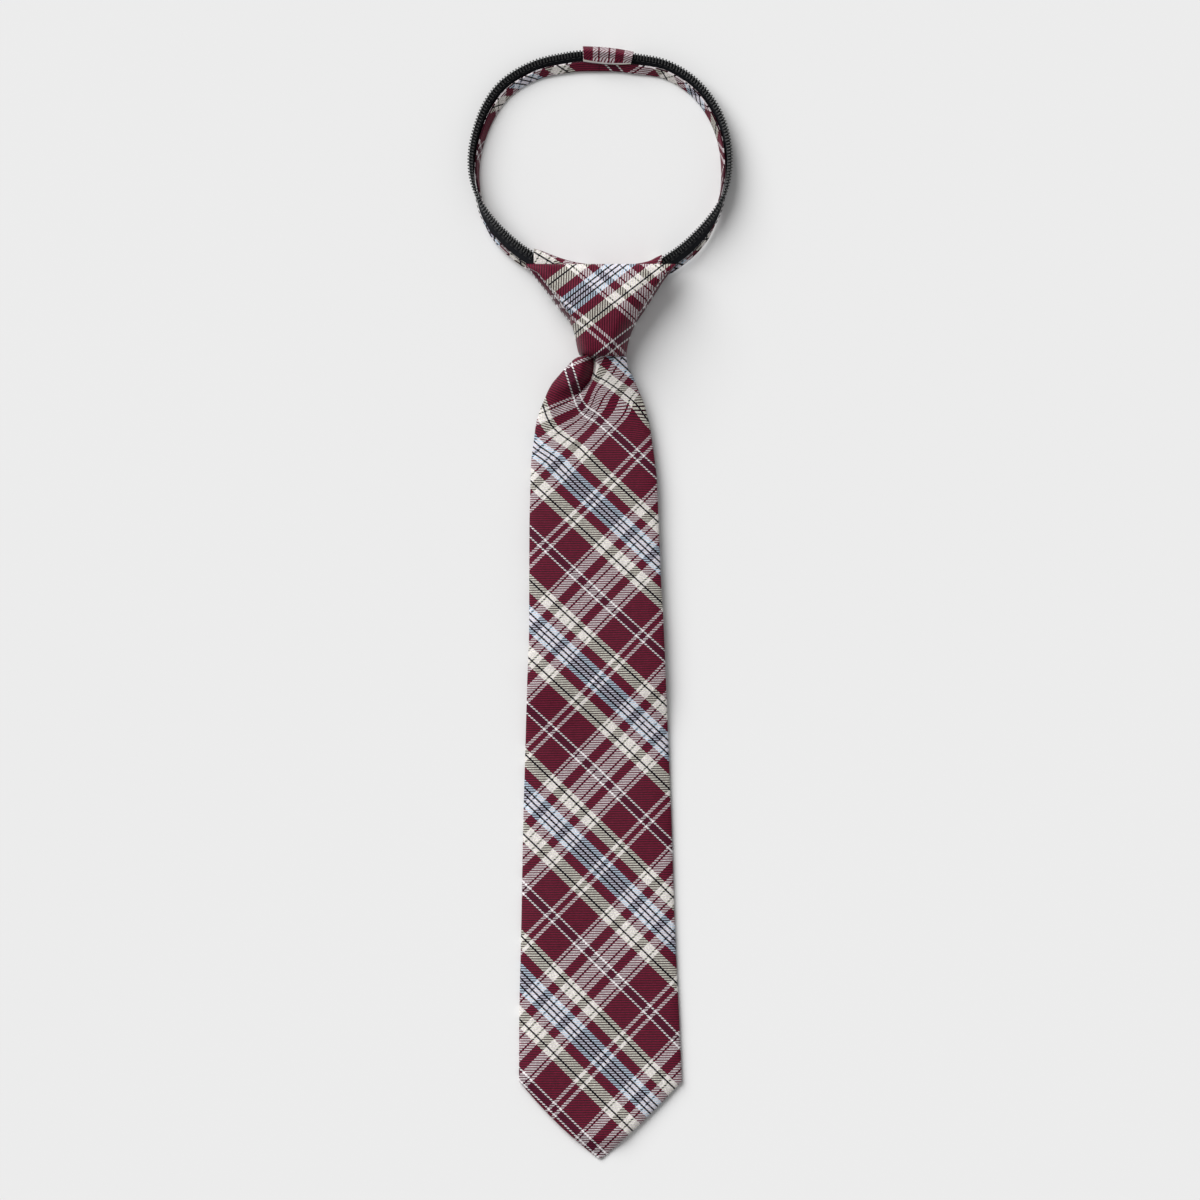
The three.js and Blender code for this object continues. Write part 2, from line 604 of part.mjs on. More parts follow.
// Tab: cloth round the coil edge of both bands, from under the tape to beside the plaid strip.
function backTab(routes) {
  const near = STRIP_WIDTH + GAP;
  const edge = BAND_WIDTH + GAP;
  const low = -COIL_DROP - GAP;
  const high = TAPE_THICKNESS + COIL_DROP + GAP;
  const back = STRIP_WIDTH - TAB_TURN;
  const corners = [
    [near, low - TAB_CLOTH],
    [edge + TAB_CLOTH, low - TAB_CLOTH],
    [edge + TAB_CLOTH, high + TAB_CLOTH],
    [back, high + TAB_CLOTH],
    [back, high],
    [edge, high],
    [edge, low],
    [near, low],
  ];
  const stations = [
    ...spacing(0, TAB_LEFT, BAND_STEP / 2).reverse().map((d) => routes.left.station(d)),
    ...spacing(0, TAB_RIGHT, BAND_STEP / 2).map((d) => routes.right.station(d)),
  ];
  return bandLoft(stations, () => corners);
}

function mesh(name, geometry, color, roughness) {
  const material = new THREE.MeshStandardMaterial({ color, roughness, metalness: 0 });
  const made = new THREE.Mesh(geometry, material);
  made.name = name;
  return made;
}

const wasm = await Module();
wasm.setup();

const tie = new THREE.Group();
const routes = { left: new BandRoute("left"), right: new BandRoute("right") };
const partingPlace = routes.left.station(routes.left.reach(PARTING)).at.y;

tie.add(mesh("blade", blade(), COLOURS.cloth, 0.75));
tie.add(mesh("knot_front", knotFront(), COLOURS.cloth, 0.75));
tie.add(mesh("knot_back", knotBack(), COLOURS.cloth, 0.75));
tie.add(mesh("back_tab", backTab(routes), COLOURS.cloth, 0.75));
for (const side of Object.keys(SIDES)) {
  const route = routes[side];
  tie.add(mesh(`plaid_strip_${side}`, bandPiece(route, CORNERS.strip), COLOURS.cloth, 0.75));
  tie.add(mesh(`zipper_tape_${side}`, bandPiece(route, CORNERS.tape), COLOURS.tape, 0.85));
  tie.add(mesh(`zipper_coil_${side}`, coil(route), COLOURS.coil, 0.45));
}
tie.add(mesh("closed_coil", closedCoil(partingPlace - GAP), COLOURS.coil, 0.45));
tie.add(mesh("zipper_slider", slider(wasm, partingPlace), COLOURS.slider, 0.4));

// The frame's origin is under the middle of the whole tie.
const box = new THREE.Box3().setFromObject(tie);
tie.position.set(-(box.min.x + box.max.x) / 2, -(box.min.y + box.max.y) / 2, -box.min.z);

export default tie;
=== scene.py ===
"""A boys' zip-up necktie in plaid twill, lying face up with its neck loop open.

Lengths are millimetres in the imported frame: +X to the right, +Y from the blade's point to the neck loop
and +Z up. They become metres only where a mesh is made.
"""
import json
import logging
import math
from collections.abc import Sequence
from dataclasses import dataclass, field
from enum import Enum

import bpy
import numpy as np
from mathutils import Matrix, Vector

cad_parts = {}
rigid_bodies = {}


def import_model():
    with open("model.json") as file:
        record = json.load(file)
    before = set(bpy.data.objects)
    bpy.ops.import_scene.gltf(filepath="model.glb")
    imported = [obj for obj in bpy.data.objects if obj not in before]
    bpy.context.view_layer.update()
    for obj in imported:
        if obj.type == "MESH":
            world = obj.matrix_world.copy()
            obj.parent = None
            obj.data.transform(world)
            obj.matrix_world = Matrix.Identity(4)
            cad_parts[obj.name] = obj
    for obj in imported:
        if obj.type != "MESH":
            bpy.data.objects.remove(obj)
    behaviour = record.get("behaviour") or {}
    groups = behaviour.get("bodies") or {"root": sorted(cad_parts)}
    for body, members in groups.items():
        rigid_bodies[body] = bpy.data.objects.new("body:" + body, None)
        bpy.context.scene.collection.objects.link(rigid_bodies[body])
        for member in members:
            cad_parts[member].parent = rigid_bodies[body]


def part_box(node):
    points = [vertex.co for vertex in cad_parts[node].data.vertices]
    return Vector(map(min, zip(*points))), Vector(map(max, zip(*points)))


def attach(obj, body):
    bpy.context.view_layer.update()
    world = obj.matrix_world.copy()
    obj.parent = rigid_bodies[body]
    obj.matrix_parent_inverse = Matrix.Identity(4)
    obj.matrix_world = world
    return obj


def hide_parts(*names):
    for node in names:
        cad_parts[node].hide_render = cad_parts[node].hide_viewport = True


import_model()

LOG = logging.getLogger("zipper_tie")
MM = 0.001
Array = np.ndarray


def node_box(node: str) -> tuple[Array, Array]:
    """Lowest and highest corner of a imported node, in millimetres.

    Args:
        node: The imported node's name.

    Returns:
        The two corners.
    """
    low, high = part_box(node)
    return np.array(low) / MM, np.array(high) / MM


KNOT_LOW, KNOT_HIGH = node_box("knot_front")
KNOT_FOOT = float(KNOT_LOW[1])  # the knot's lower edge, from which lengths down the blade are counted
KNOT_LENGTH = float(KNOT_HIGH[1] - KNOT_LOW[1])
KNOT_WIDTH = 60.0
MIDDLE = float(KNOT_LOW[0] + KNOT_HIGH[0]) / 2 - 0.21  # the knot's own centre line
WRAP_TOP = float(node_box("knot_back")[1][2])
BLADE_LENGTH = KNOT_FOOT - float(node_box("blade")[0][1])
POINT_LENGTH = 31.4
GAP = 0.3


def smooth(share: Array | float) -> Array | float:
    """Smooth step from 0 to 1 as share goes from 0 to 1."""
    held = np.clip(share, 0.0, 1.0)
    return held * held * (3 - 2 * held)


def bell(place: Array, width: float) -> Array:
    """Round bump that is 1 where place is nought and dies away over width on both sides."""
    return np.exp(-((place / width) ** 2))


def closed(laid: Array) -> Array:
    """Warp and weft round closed rings, in repeats of the plaid, with the first of each ring once more."""
    return np.concatenate([laid, laid[:, :1]], 1) / REPEAT


def tone(colour: tuple[float, float, float], factor: float) -> tuple[float, ...]:
    """A linear colour made lighter or darker, with its alpha."""
    return (*(part * factor for part in colour), 1.0)


def set_down(name: str, data: bpy.types.ID) -> bpy.types.Object:
    """Adds an object that holds some data to the scene, at the origin.

    Args:
        name: The object's name.
        data: Its mesh, light or camera.

    Returns:
        The new object.
    """
    made = bpy.data.objects.new(name, data)
    bpy.context.scene.collection.objects.link(made)
    return made


class Rows:
    """A table of chosen values that is read on smooth curves with no overshoot."""

    def __init__(self, names: str, *rows: Sequence[float]) -> None:
        """Keeps the table.

        Args:
            names: The columns' names, the first being the place along the table.
            rows: One row of values for each place.
        """
        self.values = dict(zip(names.split(), np.array(rows, float).T))
        self.along = self.values[names.split()[0]]

    def read(self, name: str, at: Array | float) -> Array:
        """Reads one column.

        Args:
            name: The column.
            at: Places along the table.

        Returns:
            The column's values there.
        """
        x, y = self.along, self.values[name]
        slope = np.diff(y) / np.diff(x)
        product = slope[:-1] * slope[1:]
        total = np.where(product > 0, slope[:-1] + slope[1:], 1.0)
        inner = np.where(product > 0, 2 * product / total, 0.0)
        tangent = np.concatenate(([slope[0]], inner, [slope[-1]]))
        at = np.asarray(at, float)
        i = np.clip(np.searchsorted(x, at, side="right") - 1, 0, len(x) - 2)
        step = x[i + 1] - x[i]
        t = np.clip((at - x[i]) / step, 0, 1)
        start = (2 * t**3 - 3 * t**2 + 1) * y[i] + (t**3 - 2 * t**2 + t) * step * tangent[i]
        return start + (3 * t**2 - 2 * t**3) * y[i + 1] + (t**3 - t**2) * step * tangent[i + 1]


class Loft:
    """Closed skin through rings of as many points each, with the plaid's threads laid over it."""

    def __init__(self, rings: Array, threads: Array | None = None) -> None:
        """Keeps the rings.

        Args:
            rings: Points in millimetres, shaped (rings, points, 3).
            threads: Shares of the plaid's repeat, shaped (rings, points + 1, 2).
        """
        self.rings = rings
        self.threads = threads

    def build(self, name: str, material: bpy.types.Material) -> bpy.types.Object:
        """Makes the mesh object.

        Args:
            name: The piece's name.
            material: Its finish.

        Returns:
            The new object, at the origin.
        """
        count, size, _ = self.rings.shape
        ring, point = np.meshgrid(np.arange(count - 1), np.arange(size), indexing="ij")
        after = (point + 1) % size
        a, b = ring * size + point, ring * size + after
        quads = np.stack([a, b, b + size, a + size], -1).reshape(-1, 4)
        uv_index = np.stack(
            [ring * (size + 1) + point, ring * (size + 1) + point + 1,
             (ring + 1) * (size + 1) + point + 1, (ring + 1) * (size + 1) + point], -1
        ).reshape(-1, 4)
        points = self.rings.reshape(-1, 3)
        first, last = list(range(size)), list(range((count - 1) * size, count * size))
        corners = points[quads]
        turned = np.cross(corners[:, 1] - corners[:, 0], corners[:, 2] - corners[:, 0])
        inwards = np.einsum("ij,ij->", corners[:, 0] - points.mean(0), turned) < 0
        if inwards:
            quads, uv_index = quads[:, ::-1], uv_index[:, ::-1]
            last = last[::-1]
        else:
            first = first[::-1]
        mesh = bpy.data.meshes.new(name)
        mesh.from_pydata((points * MM).tolist(), [], [*quads.tolist(), first, last])
        if self.threads is not None:
            flat = self.threads.reshape(-1, 2)
            ends = [[row * (size + 1) + i % size for i in end] for row, end in ((0, first), (count - 1, last))]
            picked = np.concatenate([uv_index.reshape(-1), *map(np.array, ends)])
            layer = mesh.uv_layers.new(name="threads")
            layer.data.foreach_set("uv", flat[picked].astype(np.float32).reshape(-1))
        mesh.polygons.foreach_set("use_smooth", [True] * len(mesh.polygons))
        mesh.materials.append(material)
        mesh.validate()
        mesh.update()
        return set_down(name, mesh)


class Wiring:
    """Adds nodes to a tree and joins them."""

    def __init__(self, tree: bpy.types.NodeTree, prefix: str) -> None:
        """Keeps the tree.

        Args:
            tree: The node tree.
            prefix: The word that the types of its nodes start with.
        """
        self.tree = tree
        self.prefix = prefix

    def add(self, kind: str, feeds: dict[str | int, object] | None = None, **settings: object) -> bpy.types.Node:
        """Adds a node.

        Args:
            kind: Its Blender type, without the tree's leading word.
            feeds: A value or an output for each of its inputs.
            settings: Its other properties.

        Returns:
            The node.
        """
        node = self.tree.nodes.new(self.prefix + kind)
        for key, value in settings.items():
            setattr(node, key, value)
        for key, value in (feeds or {}).items():
            if isinstance(value, bpy.types.NodeSocket):
                self.tree.links.new(value, node.inputs[key])
            else:
                node.inputs[key].default_value = value
        return node


class Graph(Wiring):
    """Shader nodes of one material."""

    def __init__(self, name: str) -> None:
        """Starts an empty material.

        Args:
            name: The material's name.
        """
        self.material = bpy.data.materials.new(name)
        self.material.use_nodes = True
        super().__init__(self.material.node_tree, "ShaderNode")
        self.tree.nodes.clear()

    def place(self) -> bpy.types.NodeSocket:
        """Gives the place on the piece, in its own coordinates."""
        return self.add("TexCoord").outputs["Object"]

    def threads(self) -> tuple[bpy.types.NodeSocket, bpy.types.NodeSocket]:
        """Gives both counts of the piece's map of threads."""
        split = self.add("SeparateXYZ", {0: self.add("UVMap", uv_map="threads").outputs[0]})
        return split.outputs[0], split.outputs[1]

    def math(self, operation: str, *values: object) -> bpy.types.NodeSocket:
        """Adds a Math node and gives its result."""
        return self.add("Math", dict(enumerate(values)), operation=operation).outputs[0]

    def mix(self, share: object, first: object, second: object, blend: str = "MIX") -> bpy.types.NodeSocket:
        """Mixes two colours and gives the result."""
        node = self.add("Mix", {0: share, 6: first, 7: second}, data_type="RGBA", blend_type=blend)
        return node.outputs[2]

    def noise(self, vector: object, scale: float, detail: float = 2.0) -> bpy.types.NodeSocket:
        """Adds a noise texture and gives its value."""
        return self.add("TexNoise", {"Vector": vector, "Scale": scale, "Detail": detail}).outputs[0]

    def finish(self, height: object | None, relief: float, **surface: object) -> bpy.types.Material:
        """Ends the material in one Principled shader.

        Args:
            height: The bump's height, from 0 to 1, or None for no bump.
            relief: The bump's depth in millimetres.
            surface: Values and outputs for the shader's inputs, with _ for a space.

        Returns:
            The material.
        """
        shader = self.add("BsdfPrincipled", {key.replace("_", " "): value for key, value in surface.items()})
        if height is not None:
            bump = self.add("Bump", {"Height": height, "Distance": relief * MM, "Strength": 1.0})
            self.tree.links.new(bump.outputs[0], shader.inputs["Normal"])
        end = self.add("OutputMaterial")
        self.tree.links.new(shader.outputs[0], end.inputs[0])
        return self.material


class Yarn(Enum):
    """Dyed yarns of the plaid, as linear colours."""

    BURGUNDY = (0.160, 0.008, 0.029)
    WINE = (0.038, 0.002, 0.010)
    PLUM = (0.100, 0.006, 0.026)
    CREAM = (0.77, 0.75, 0.66)
    WHITE = (0.94, 0.92, 0.92)
    SKY = (0.54, 0.67, 0.80)
    LAVENDER = (0.60, 0.62, 0.74)
    PINK = (0.73, 0.67, 0.69)
    BLACK = (0.004, 0.003, 0.006)

    @property
    def float_share(self) -> float:
        """How much longer than the twill's own floats the yarn's floats are, from 0 to 1."""
        return 1.0 if self is Yarn.BLACK else 0.0


Sett = tuple[tuple[Yarn, int], ...]  # stripes of a repeat, in yarns

WARP: Sett = (
    (Yarn.WHITE, 2), (Yarn.BURGUNDY, 33), (Yarn.CREAM, 6), (Yarn.BLACK, 2), (Yarn.CREAM, 11), (Yarn.BURGUNDY, 11),
    (Yarn.SKY, 5), (Yarn.BLACK, 2), (Yarn.LAVENDER, 4), (Yarn.BLACK, 2), (Yarn.LAVENDER, 4), (Yarn.BLACK, 2),
    (Yarn.SKY, 6), (Yarn.BURGUNDY, 11), (Yarn.CREAM, 10), (Yarn.BLACK, 2), (Yarn.CREAM, 5), (Yarn.BURGUNDY, 31),
    (Yarn.WHITE, 2), (Yarn.PLUM, 8),
)
WEFT: Sett = (
    (Yarn.PINK, 4), (Yarn.WINE, 6), (Yarn.PINK, 4), (Yarn.WINE, 33), (Yarn.PINK, 3), (Yarn.BLACK, 2),
    (Yarn.PINK, 10), (Yarn.WINE, 11), (Yarn.PINK, 6), (Yarn.BLACK, 2), (Yarn.PINK, 10), (Yarn.BLACK, 2),
    (Yarn.PINK, 6), (Yarn.WINE, 10), (Yarn.PINK, 10), (Yarn.BLACK, 2), (Yarn.PINK, 4), (Yarn.WINE, 34),
)
YARNS = sum(count for _, count in WARP)
PITCH = 0.3308  # one yarn beside the next
REPEAT = YARNS * PITCH


@dataclass(frozen=True)
class PlaidTwill:
    """Two-up, two-down twill of dyed yarns, woven to a plaid, with painted shade on the yarns' sides."""

    relief: float = 0.07
    painted_side_shade: float = 0.8  # painted shade on a pale yarn's sides where it crosses a dark one
    cover: float = 0.45  # how much wider a pale yarn's floats are than a dark one's
    shade: float = 0.72  # the yarns' darkest shade, as a share of their colour
    heather: float = 0.3  # how much the mottling of the yarn changes that
    speckle: float = 0.42  # and how much one float differs from the next

    def stripe(self, graph: Graph, count: object, sett: Sett) -> bpy.types.Node:
        """Colour of the yarn with a number, and the share of its longer floats.

        Args:
            graph: The material's graph.
            count: The yarn's number.
            sett: The stripes of a repeat.

        Returns:
            A node that gives the colour and, as its alpha, that share.
        """
        middle = graph.math("MULTIPLY_ADD", count, 1 / YARNS, 0.5 / YARNS)
        nearest = graph.math("ADD", graph.math("FRACT", middle), 0.5 / 255)  # the ramp is read in 255 steps
        node = graph.add("ValToRGB", {0: nearest})
        ramp = node.color_ramp
        ramp.interpolation = "CONSTANT"
        place = 0
        for i, (yarn, width) in enumerate(sett):
            stop = ramp.elements[0] if i == 0 else ramp.elements.new(place / YARNS)
            stop.position = place / YARNS
            stop.color = (*yarn.value, yarn.float_share)
            place += width
        ramp.elements.remove(ramp.elements[-1])
        return node

    def material(self, name: str) -> bpy.types.Material:
        """Makes the finish.

        Args:
            name: The material's name.

        Returns:
            The material.
        """
        graph = Graph(name)
        places = [graph.math("MULTIPLY", count, float(YARNS)) for count in graph.threads()]
        counts = [graph.math("FLOOR", place) for place in places]
        crowns = []
        for place in places:
            across = graph.math("FRACT", place)
            crowns.append(graph.math("SINE", graph.math("MULTIPLY", across, math.pi)))
        warp, weft = (self.stripe(graph, count, sett) for count, sett in zip(counts, (WARP, WEFT)))
        greens = [graph.add("SeparateColor", {0: yarn.outputs[0]}).outputs[1] for yarn in (warp, weft)]
        paler = graph.math("SUBTRACT", *greens)
        step = graph.math("FLOORED_MODULO", graph.math("SUBTRACT", *places), 4.0)
        even = graph.math("MULTIPLY_ADD", paler, self.cover, 2.0)
        over = graph.math("LESS_THAN", step, graph.math("MULTIPLY_ADD", warp.outputs[1], 2.0, even))
        top = graph.mix(over, weft.outputs[0], warp.outputs[0])
        crown_mix = graph.add("Mix", {0: over, 2: crowns[1], 3: crowns[0]}, data_type="FLOAT")
        crown = graph.math("SQRT", crown_mix.outputs[0])
        mottling = graph.noise(graph.place(), 260.0, 3.0)
        crossing = graph.add("CombineXYZ", {0: counts[0], 1: counts[1]}).outputs[0]
        chance = graph.add("TexWhiteNoise", {"Vector": crossing}, noise_dimensions="3D").outputs[0]
        # Painted shade: each yarn's colour darkens towards its sides, the more so where a pale yarn crosses a dark
        # one.
        contrast = graph.math("MULTIPLY_ADD", graph.math("ABSOLUTE", paler), 1.5, -0.1)
        share = graph.math("MINIMUM", graph.math("MAXIMUM", contrast, 0.12), 1.0)
        side = graph.math("SUBTRACT", 1.0, graph.math("POWER", crown_mix.outputs[0], 1.4))
        painted_yarn_shade = graph.math("MULTIPLY", graph.math("MULTIPLY", share, side), self.painted_side_shade)
        wear = graph.math("MULTIPLY_ADD", mottling, self.heather, self.shade)
        wear = graph.math("MULTIPLY_ADD", graph.math("POWER", chance, 2.0), self.speckle, wear)
        # The colour is multiplied by that painted shade and by the random mottling and speckle.
        factor = graph.math("MULTIPLY", graph.math("SUBTRACT", 1.0, painted_yarn_shade), wear)
        grey = graph.add("CombineColor", {0: factor, 1: factor, 2: factor}).outputs[0]
        colour = graph.mix(1.0, top, grey, "MULTIPLY")
        return graph.finish(
            crown, self.relief, Base_Color=colour, Roughness=0.45, Specular_IOR_Level=0.14,
            Sheen_Weight=0.02, Sheen_Roughness=0.3,
        )


@dataclass(frozen=True)
class RibbedTape:
    """Black woven zipper tape with ribs along it, their crowns painted lighter and their grooves painted darker."""

    colour: tuple[float, float, float] = (0.0075, 0.0083, 0.0105)
    rib: float = 0.55
    relief: float = 0.1

    def material(self, name: str) -> bpy.types.Material:
        """Makes the finish.

        Args:
            name: The material's name.

        Returns:
            The material.
        """
        graph = Graph(name)
        along, across = (
            graph.math("MULTIPLY", length, REPEAT / self.rib * 2 * math.pi) for length in graph.threads()
        )
        offset = graph.math("MULTIPLY", graph.math("SIGN", graph.math("SINE", across)), math.pi / 2)
        weave = graph.math("SINE", graph.math("ADD", along, offset))
        height = graph.math("MULTIPLY_ADD", graph.math("ADD", weave, graph.math("COSINE", across)), 0.25, 0.5)
        lint = graph.noise(graph.place(), 900.0, 4.0)
        # Painted highlight and shade: the colour follows the ribs' height, lighter on their crowns and darker in
        # the grooves, mottled at random by the lint noise.
        share = graph.math("MULTIPLY", graph.math("MULTIPLY", height, lint), 1.1)
        colour = graph.mix(share, tone(self.colour, 0.45), tone(self.colour, 3.4))
        return graph.finish(height, self.relief, Base_Color=colour, Roughness=0.8, Specular_IOR_Level=0.15)


@dataclass(frozen=True)
class Nylon:
    """Black nylon wire of the coil, or sewing thread, with fine draw marks."""

    colour: tuple[float, float, float] = (0.024, 0.025, 0.025)
    roughness: float = 0.28

    def material(self, name: str) -> bpy.types.Material:
        """Makes the finish.

        Args:
            name: The material's name.

        Returns:
            The material.
        """
        graph = Graph(name)
        marks = graph.noise(graph.place(), 1500.0, 3.0)
        colour = graph.mix(marks, tone(self.colour, 0.6), tone(self.colour, 1.5))
        rough = graph.math("MULTIPLY_ADD", marks, 0.2, self.roughness - 0.1)
        return graph.finish(marks, 0.02, Base_Color=colour, Roughness=rough, Specular_IOR_Level=0.7)


@dataclass(frozen=True)
class Enamel:
    """Black enamel over a cast slider, worn to grey at random."""

    colour: tuple[float, float, float] = (0.02, 0.021, 0.023)

    def material(self, name: str) -> bpy.types.Material:
        """Makes the finish.

        Args:
            name: The material's name.

        Returns:
            The material.
        """
        graph = Graph(name)
        marks = graph.noise(graph.place(), 700.0, 5.0)
        worn = graph.math("MULTIPLY", graph.math("GREATER_THAN", marks, 0.66), 0.6)
        colour = graph.mix(worn, (*self.colour, 1.0), (0.16, 0.16, 0.17, 1.0))
        rough = graph.math("MULTIPLY_ADD", marks, 0.3, 0.2)
        return graph.finish(marks, 0.03, Base_Color=colour, Roughness=rough, Metallic=0.6)


@dataclass(frozen=True)
class Satin:
    """Plain burgundy lining satin."""

    colour: tuple[float, float, float] = (0.11, 0.010, 0.026)

    def material(self, name: str) -> bpy.types.Material:
        """Makes the finish.

        Args:
            name: The material's name.

        Returns:
            The material.
        """
        graph = Graph(name)
        stretched = graph.add("Mapping", {"Vector": graph.place(), "Scale": (6000.0, 400.0, 400.0)}).outputs[0]
        floats = graph.noise(stretched, 1.0, 2.0)
        colour = graph.mix(floats, tone(self.colour, 0.7), tone(self.colour, 1.4))
        return graph.finish(floats, 0.03, Base_Color=colour, Roughness=0.4, Anisotropic=0.5, Sheen_Weight=0.2)


@dataclass(frozen=True)
class FlatPlaid:
    """Lie of the plaid on a piece seen from the front, before any folds."""

    at: tuple[float, float]  # a place on the piece
    start: tuple[float, float]  # warp and weft there, in millimetres of the repeat
    turn: tuple[float, float]  # the way that each count grows, in degrees from +X
    scale: tuple[float, float] = (1.0, 1.0)

    def lay(self, x: Array, y: Array) -> Array:
        """Threads at places on the piece.

        Args:
            x: Places to the right.
            y: Places up the tie.

        Returns:
            Warp and weft in millimetres, stacked in a last axis.
        """
        counts = []
        for start, turn, scale in zip(self.start, self.turn, self.scale):
            way = math.radians(turn)
            run = (x - self.at[0]) * math.cos(way) + (y - self.at[1]) * math.sin(way)
            counts.append(start + run * scale)
        return np.stack(counts, -1)


class Kit(Enum):
    """The record's material slots, by name."""

    PLAID = "plaid_twill"
    TAPE = "zipper_tape"
    COIL = "nylon_coil"


def hand_over(piece: bpy.types.Object, slot: Kit, *nodes: str) -> bpy.types.Object:
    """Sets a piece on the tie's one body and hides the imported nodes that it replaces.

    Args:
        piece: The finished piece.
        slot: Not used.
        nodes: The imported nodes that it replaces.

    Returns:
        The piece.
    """
    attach(piece, "root")
    if nodes:
        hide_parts(*nodes)
    LOG.info("%s: %d faces", piece.name, len(piece.data.polygons))
    return piece


@dataclass(frozen=True)
class Mound:
    """Round swelling of the blade's front, or a dip where its height is below nought."""

    x: float
    down: float
    wide: float
    long: float
    height: float

    def read(self, x: Array, down: Array) -> Array:
        """Height that it adds.

        Args:
            x: Places to the right.
            down: Lengths below the knot's lower edge.

        Returns:
            The heights.
        """
        return self.height * np.exp(-(((x - self.x) / self.wide) ** 2) - ((down - self.down) / self.long) ** 2)


@dataclass
class Blade:
    """The tie's body: folded cloth with a dimple under the knot, a seam behind and a lined point."""

    width: float = 65.2
    thickness: float = 3.6
    neck_thickness: float = 6.0
    neck_tuck: float = 9.0
    neck_run: float = 35.0
    crease_depth: float = 6.0
    lobe_rise: float = 1.5
    lobe_width: float = 5.4
    tail_room: float = 3.05  # the closed zipper's height behind the blade
    neck_room: float = 2.15  # and how much more the slider raises it
    seam: float = 2.2  # place of the back seam's edge beside the centre line
    seam_step: float = 0.45
    opening: float = 256.0  # length below the knot at which the lined opening behind the point starts
    drawn: float = 6.4  # how far the gathers draw the warp under the knot
    drawn_run: float = 11.2  # and the length over which that dies away
    turned_run: float = 24.4  # length over which the gathers turn the weft
    lobe_end: float = 15.6  # length below the knot at which the lobe's fold ends
    lobe_plaid_end: float = 16.5  # and at which its plaid does
    lining_levels: tuple[float, float] = (0.95, 0.62)  # heights of the lining's two faces
    mounds: tuple[Mound, ...] = (Mound(-17.0, 13.0, 7.0, 9.0, 0.9), Mound(-12.0, 27.0, 9.0, 9.0, -0.8))
    wave: float = 0.12  # height of the cloth's slow waves
    wave_start: float = 60.0  # length below the knot over which they grow
    least: float = 0.8  # least height of the front above the underside
    rim: float = 0.9  # height to which the underside turns up at the edges
    roof: float = 4.2  # depth of the gathered neck below the knot's top
    crease_share: float = 0.42  # share of the front's points that lie to the left of the crease
    crowding: float = 1.45  # power by which they draw together beside it
    crowd_end: float = 14.0  # length below the knot at which they begin to spread out evenly
    crowd_run: float = 30.0  # and the length over which they do
    fine: int = 150
    plaid: FlatPlaid = FlatPlaid((0.04, -31.52), (26.56, 2.64), (46.0, -44.0))
    lobe_plaid: FlatPlaid = FlatPlaid((-10.04, 0.0), (102.3, -88.96), (17.3, -67.5))
    outline: Rows = field(default_factory=lambda: Rows(
        "down left right tail neck",
        (0.0, 0.26, 0.325, 1, 1), (0.004, 0.32, 0.327, 1, 0.98), (0.015, 0.417, 0.347, 1, 0.93),
        (0.026, 0.503, 0.4, 1, 0.8), (0.037, 0.585, 0.442, 1, 0.62), (0.048, 0.64, 0.479, 1, 0.45),
        (0.059, 0.68, 0.522, 1, 0.32), (0.07, 0.722, 0.558, 1, 0.2), (0.081, 0.755, 0.58, 1, 0.1),
        (0.092, 0.782, 0.608, 1, 0.05), (0.114, 0.808, 0.638, 1, 0), (0.147, 0.843, 0.678, 1, 0),
        (0.17, 0.85, 0.7, 1, 0), (0.238, 0.864, 0.724, 1, 0), (0.307, 0.866, 0.75, 1, 0),
        (0.376, 0.868, 0.785, 1, 0), (0.445, 0.89, 0.81, 1, 0), (0.514, 0.908, 0.834, 0.3, 0),
        (0.583, 0.925, 0.859, 0.05, 0), (0.652, 0.942, 0.883, 0, 0), (0.79, 0.965, 0.922, 0, 0),
        (0.928, 0.99, 0.98, 0, 0), (1.0, 0.993, 1.007, 0, 0),
    ))
    crease: Rows = field(default_factory=lambda: Rows(
        "down place depth",
        (-9.0, -1.5, 0.6), (0.0, -2.4, 1.0), (3.9, -2.4, 1.0), (8.6, -3.4, 1.0), (11.5, -5.3, 0.85),
        (14.4, -8.2, 0.45), (16.2, -10.4, 0.16), (20.0, -14.5, 0.04), (26.0, -20.0, 0.0),
    ))
    drift: Rows = field(default_factory=lambda: Rows(
        "down aside_left aside_right along_left along_right",
        (0.0, 0, 0, -0.8, -2.2), (11.2, 0, 0, -0.8, -2.2), (19.2, -0.6, 0, -0.8, -2.5),
        (27.2, -0.9, 0.6, -1.0, -2.8), (35.2, -0.2, 0.3, -1.6, -2.4), (45.2, 0.6, 0.4, -2.0, -2.3),
        (57.2, 0.9, 0.1, -1.6, -2.3), (73.2, 0.9, 0, -1.0, -1.7), (97.2, 0.8, 0, -0.8, -0.8),
        (129.2, 0.3, -0.4, -0.3, 0), (161.2, 0.3, -0.8, 0.4, 0.1), (193.2, 0.3, -0.3, 0, 0),
        (225.2, 0.9, -0.3, 0, -0.7), (257.2, 1.1, -0.4, -1.2, -1.6), (281.2, 1.2, 0, -2.1, -2.7),
        (297.2, 1.2, 0, -2.8, -3.2), (321.6, 1.2, 0, -3.6, -4.0),
    ))

    def edges(self, down: Array) -> tuple[Array, Array]:
        """Left and right edge of the blade.

        Args:
            down: Lengths below the knot's lower edge.

        Returns:
            The two edges' places.
        """
        body = BLADE_LENGTH - POINT_LENGTH
        share = np.clip(down / body, 0, 1)
        narrow = np.clip((BLADE_LENGTH - down) / POINT_LENGTH, 0.01, 1) ** 0.95
        bulge = np.sin(math.pi * narrow)
        left, right = ((narrow + full * bulge) * self.width / 2 for full in (0.046, 0.02))
        return -self.outline.read("left", share) * left, self.outline.read("right", share) * right

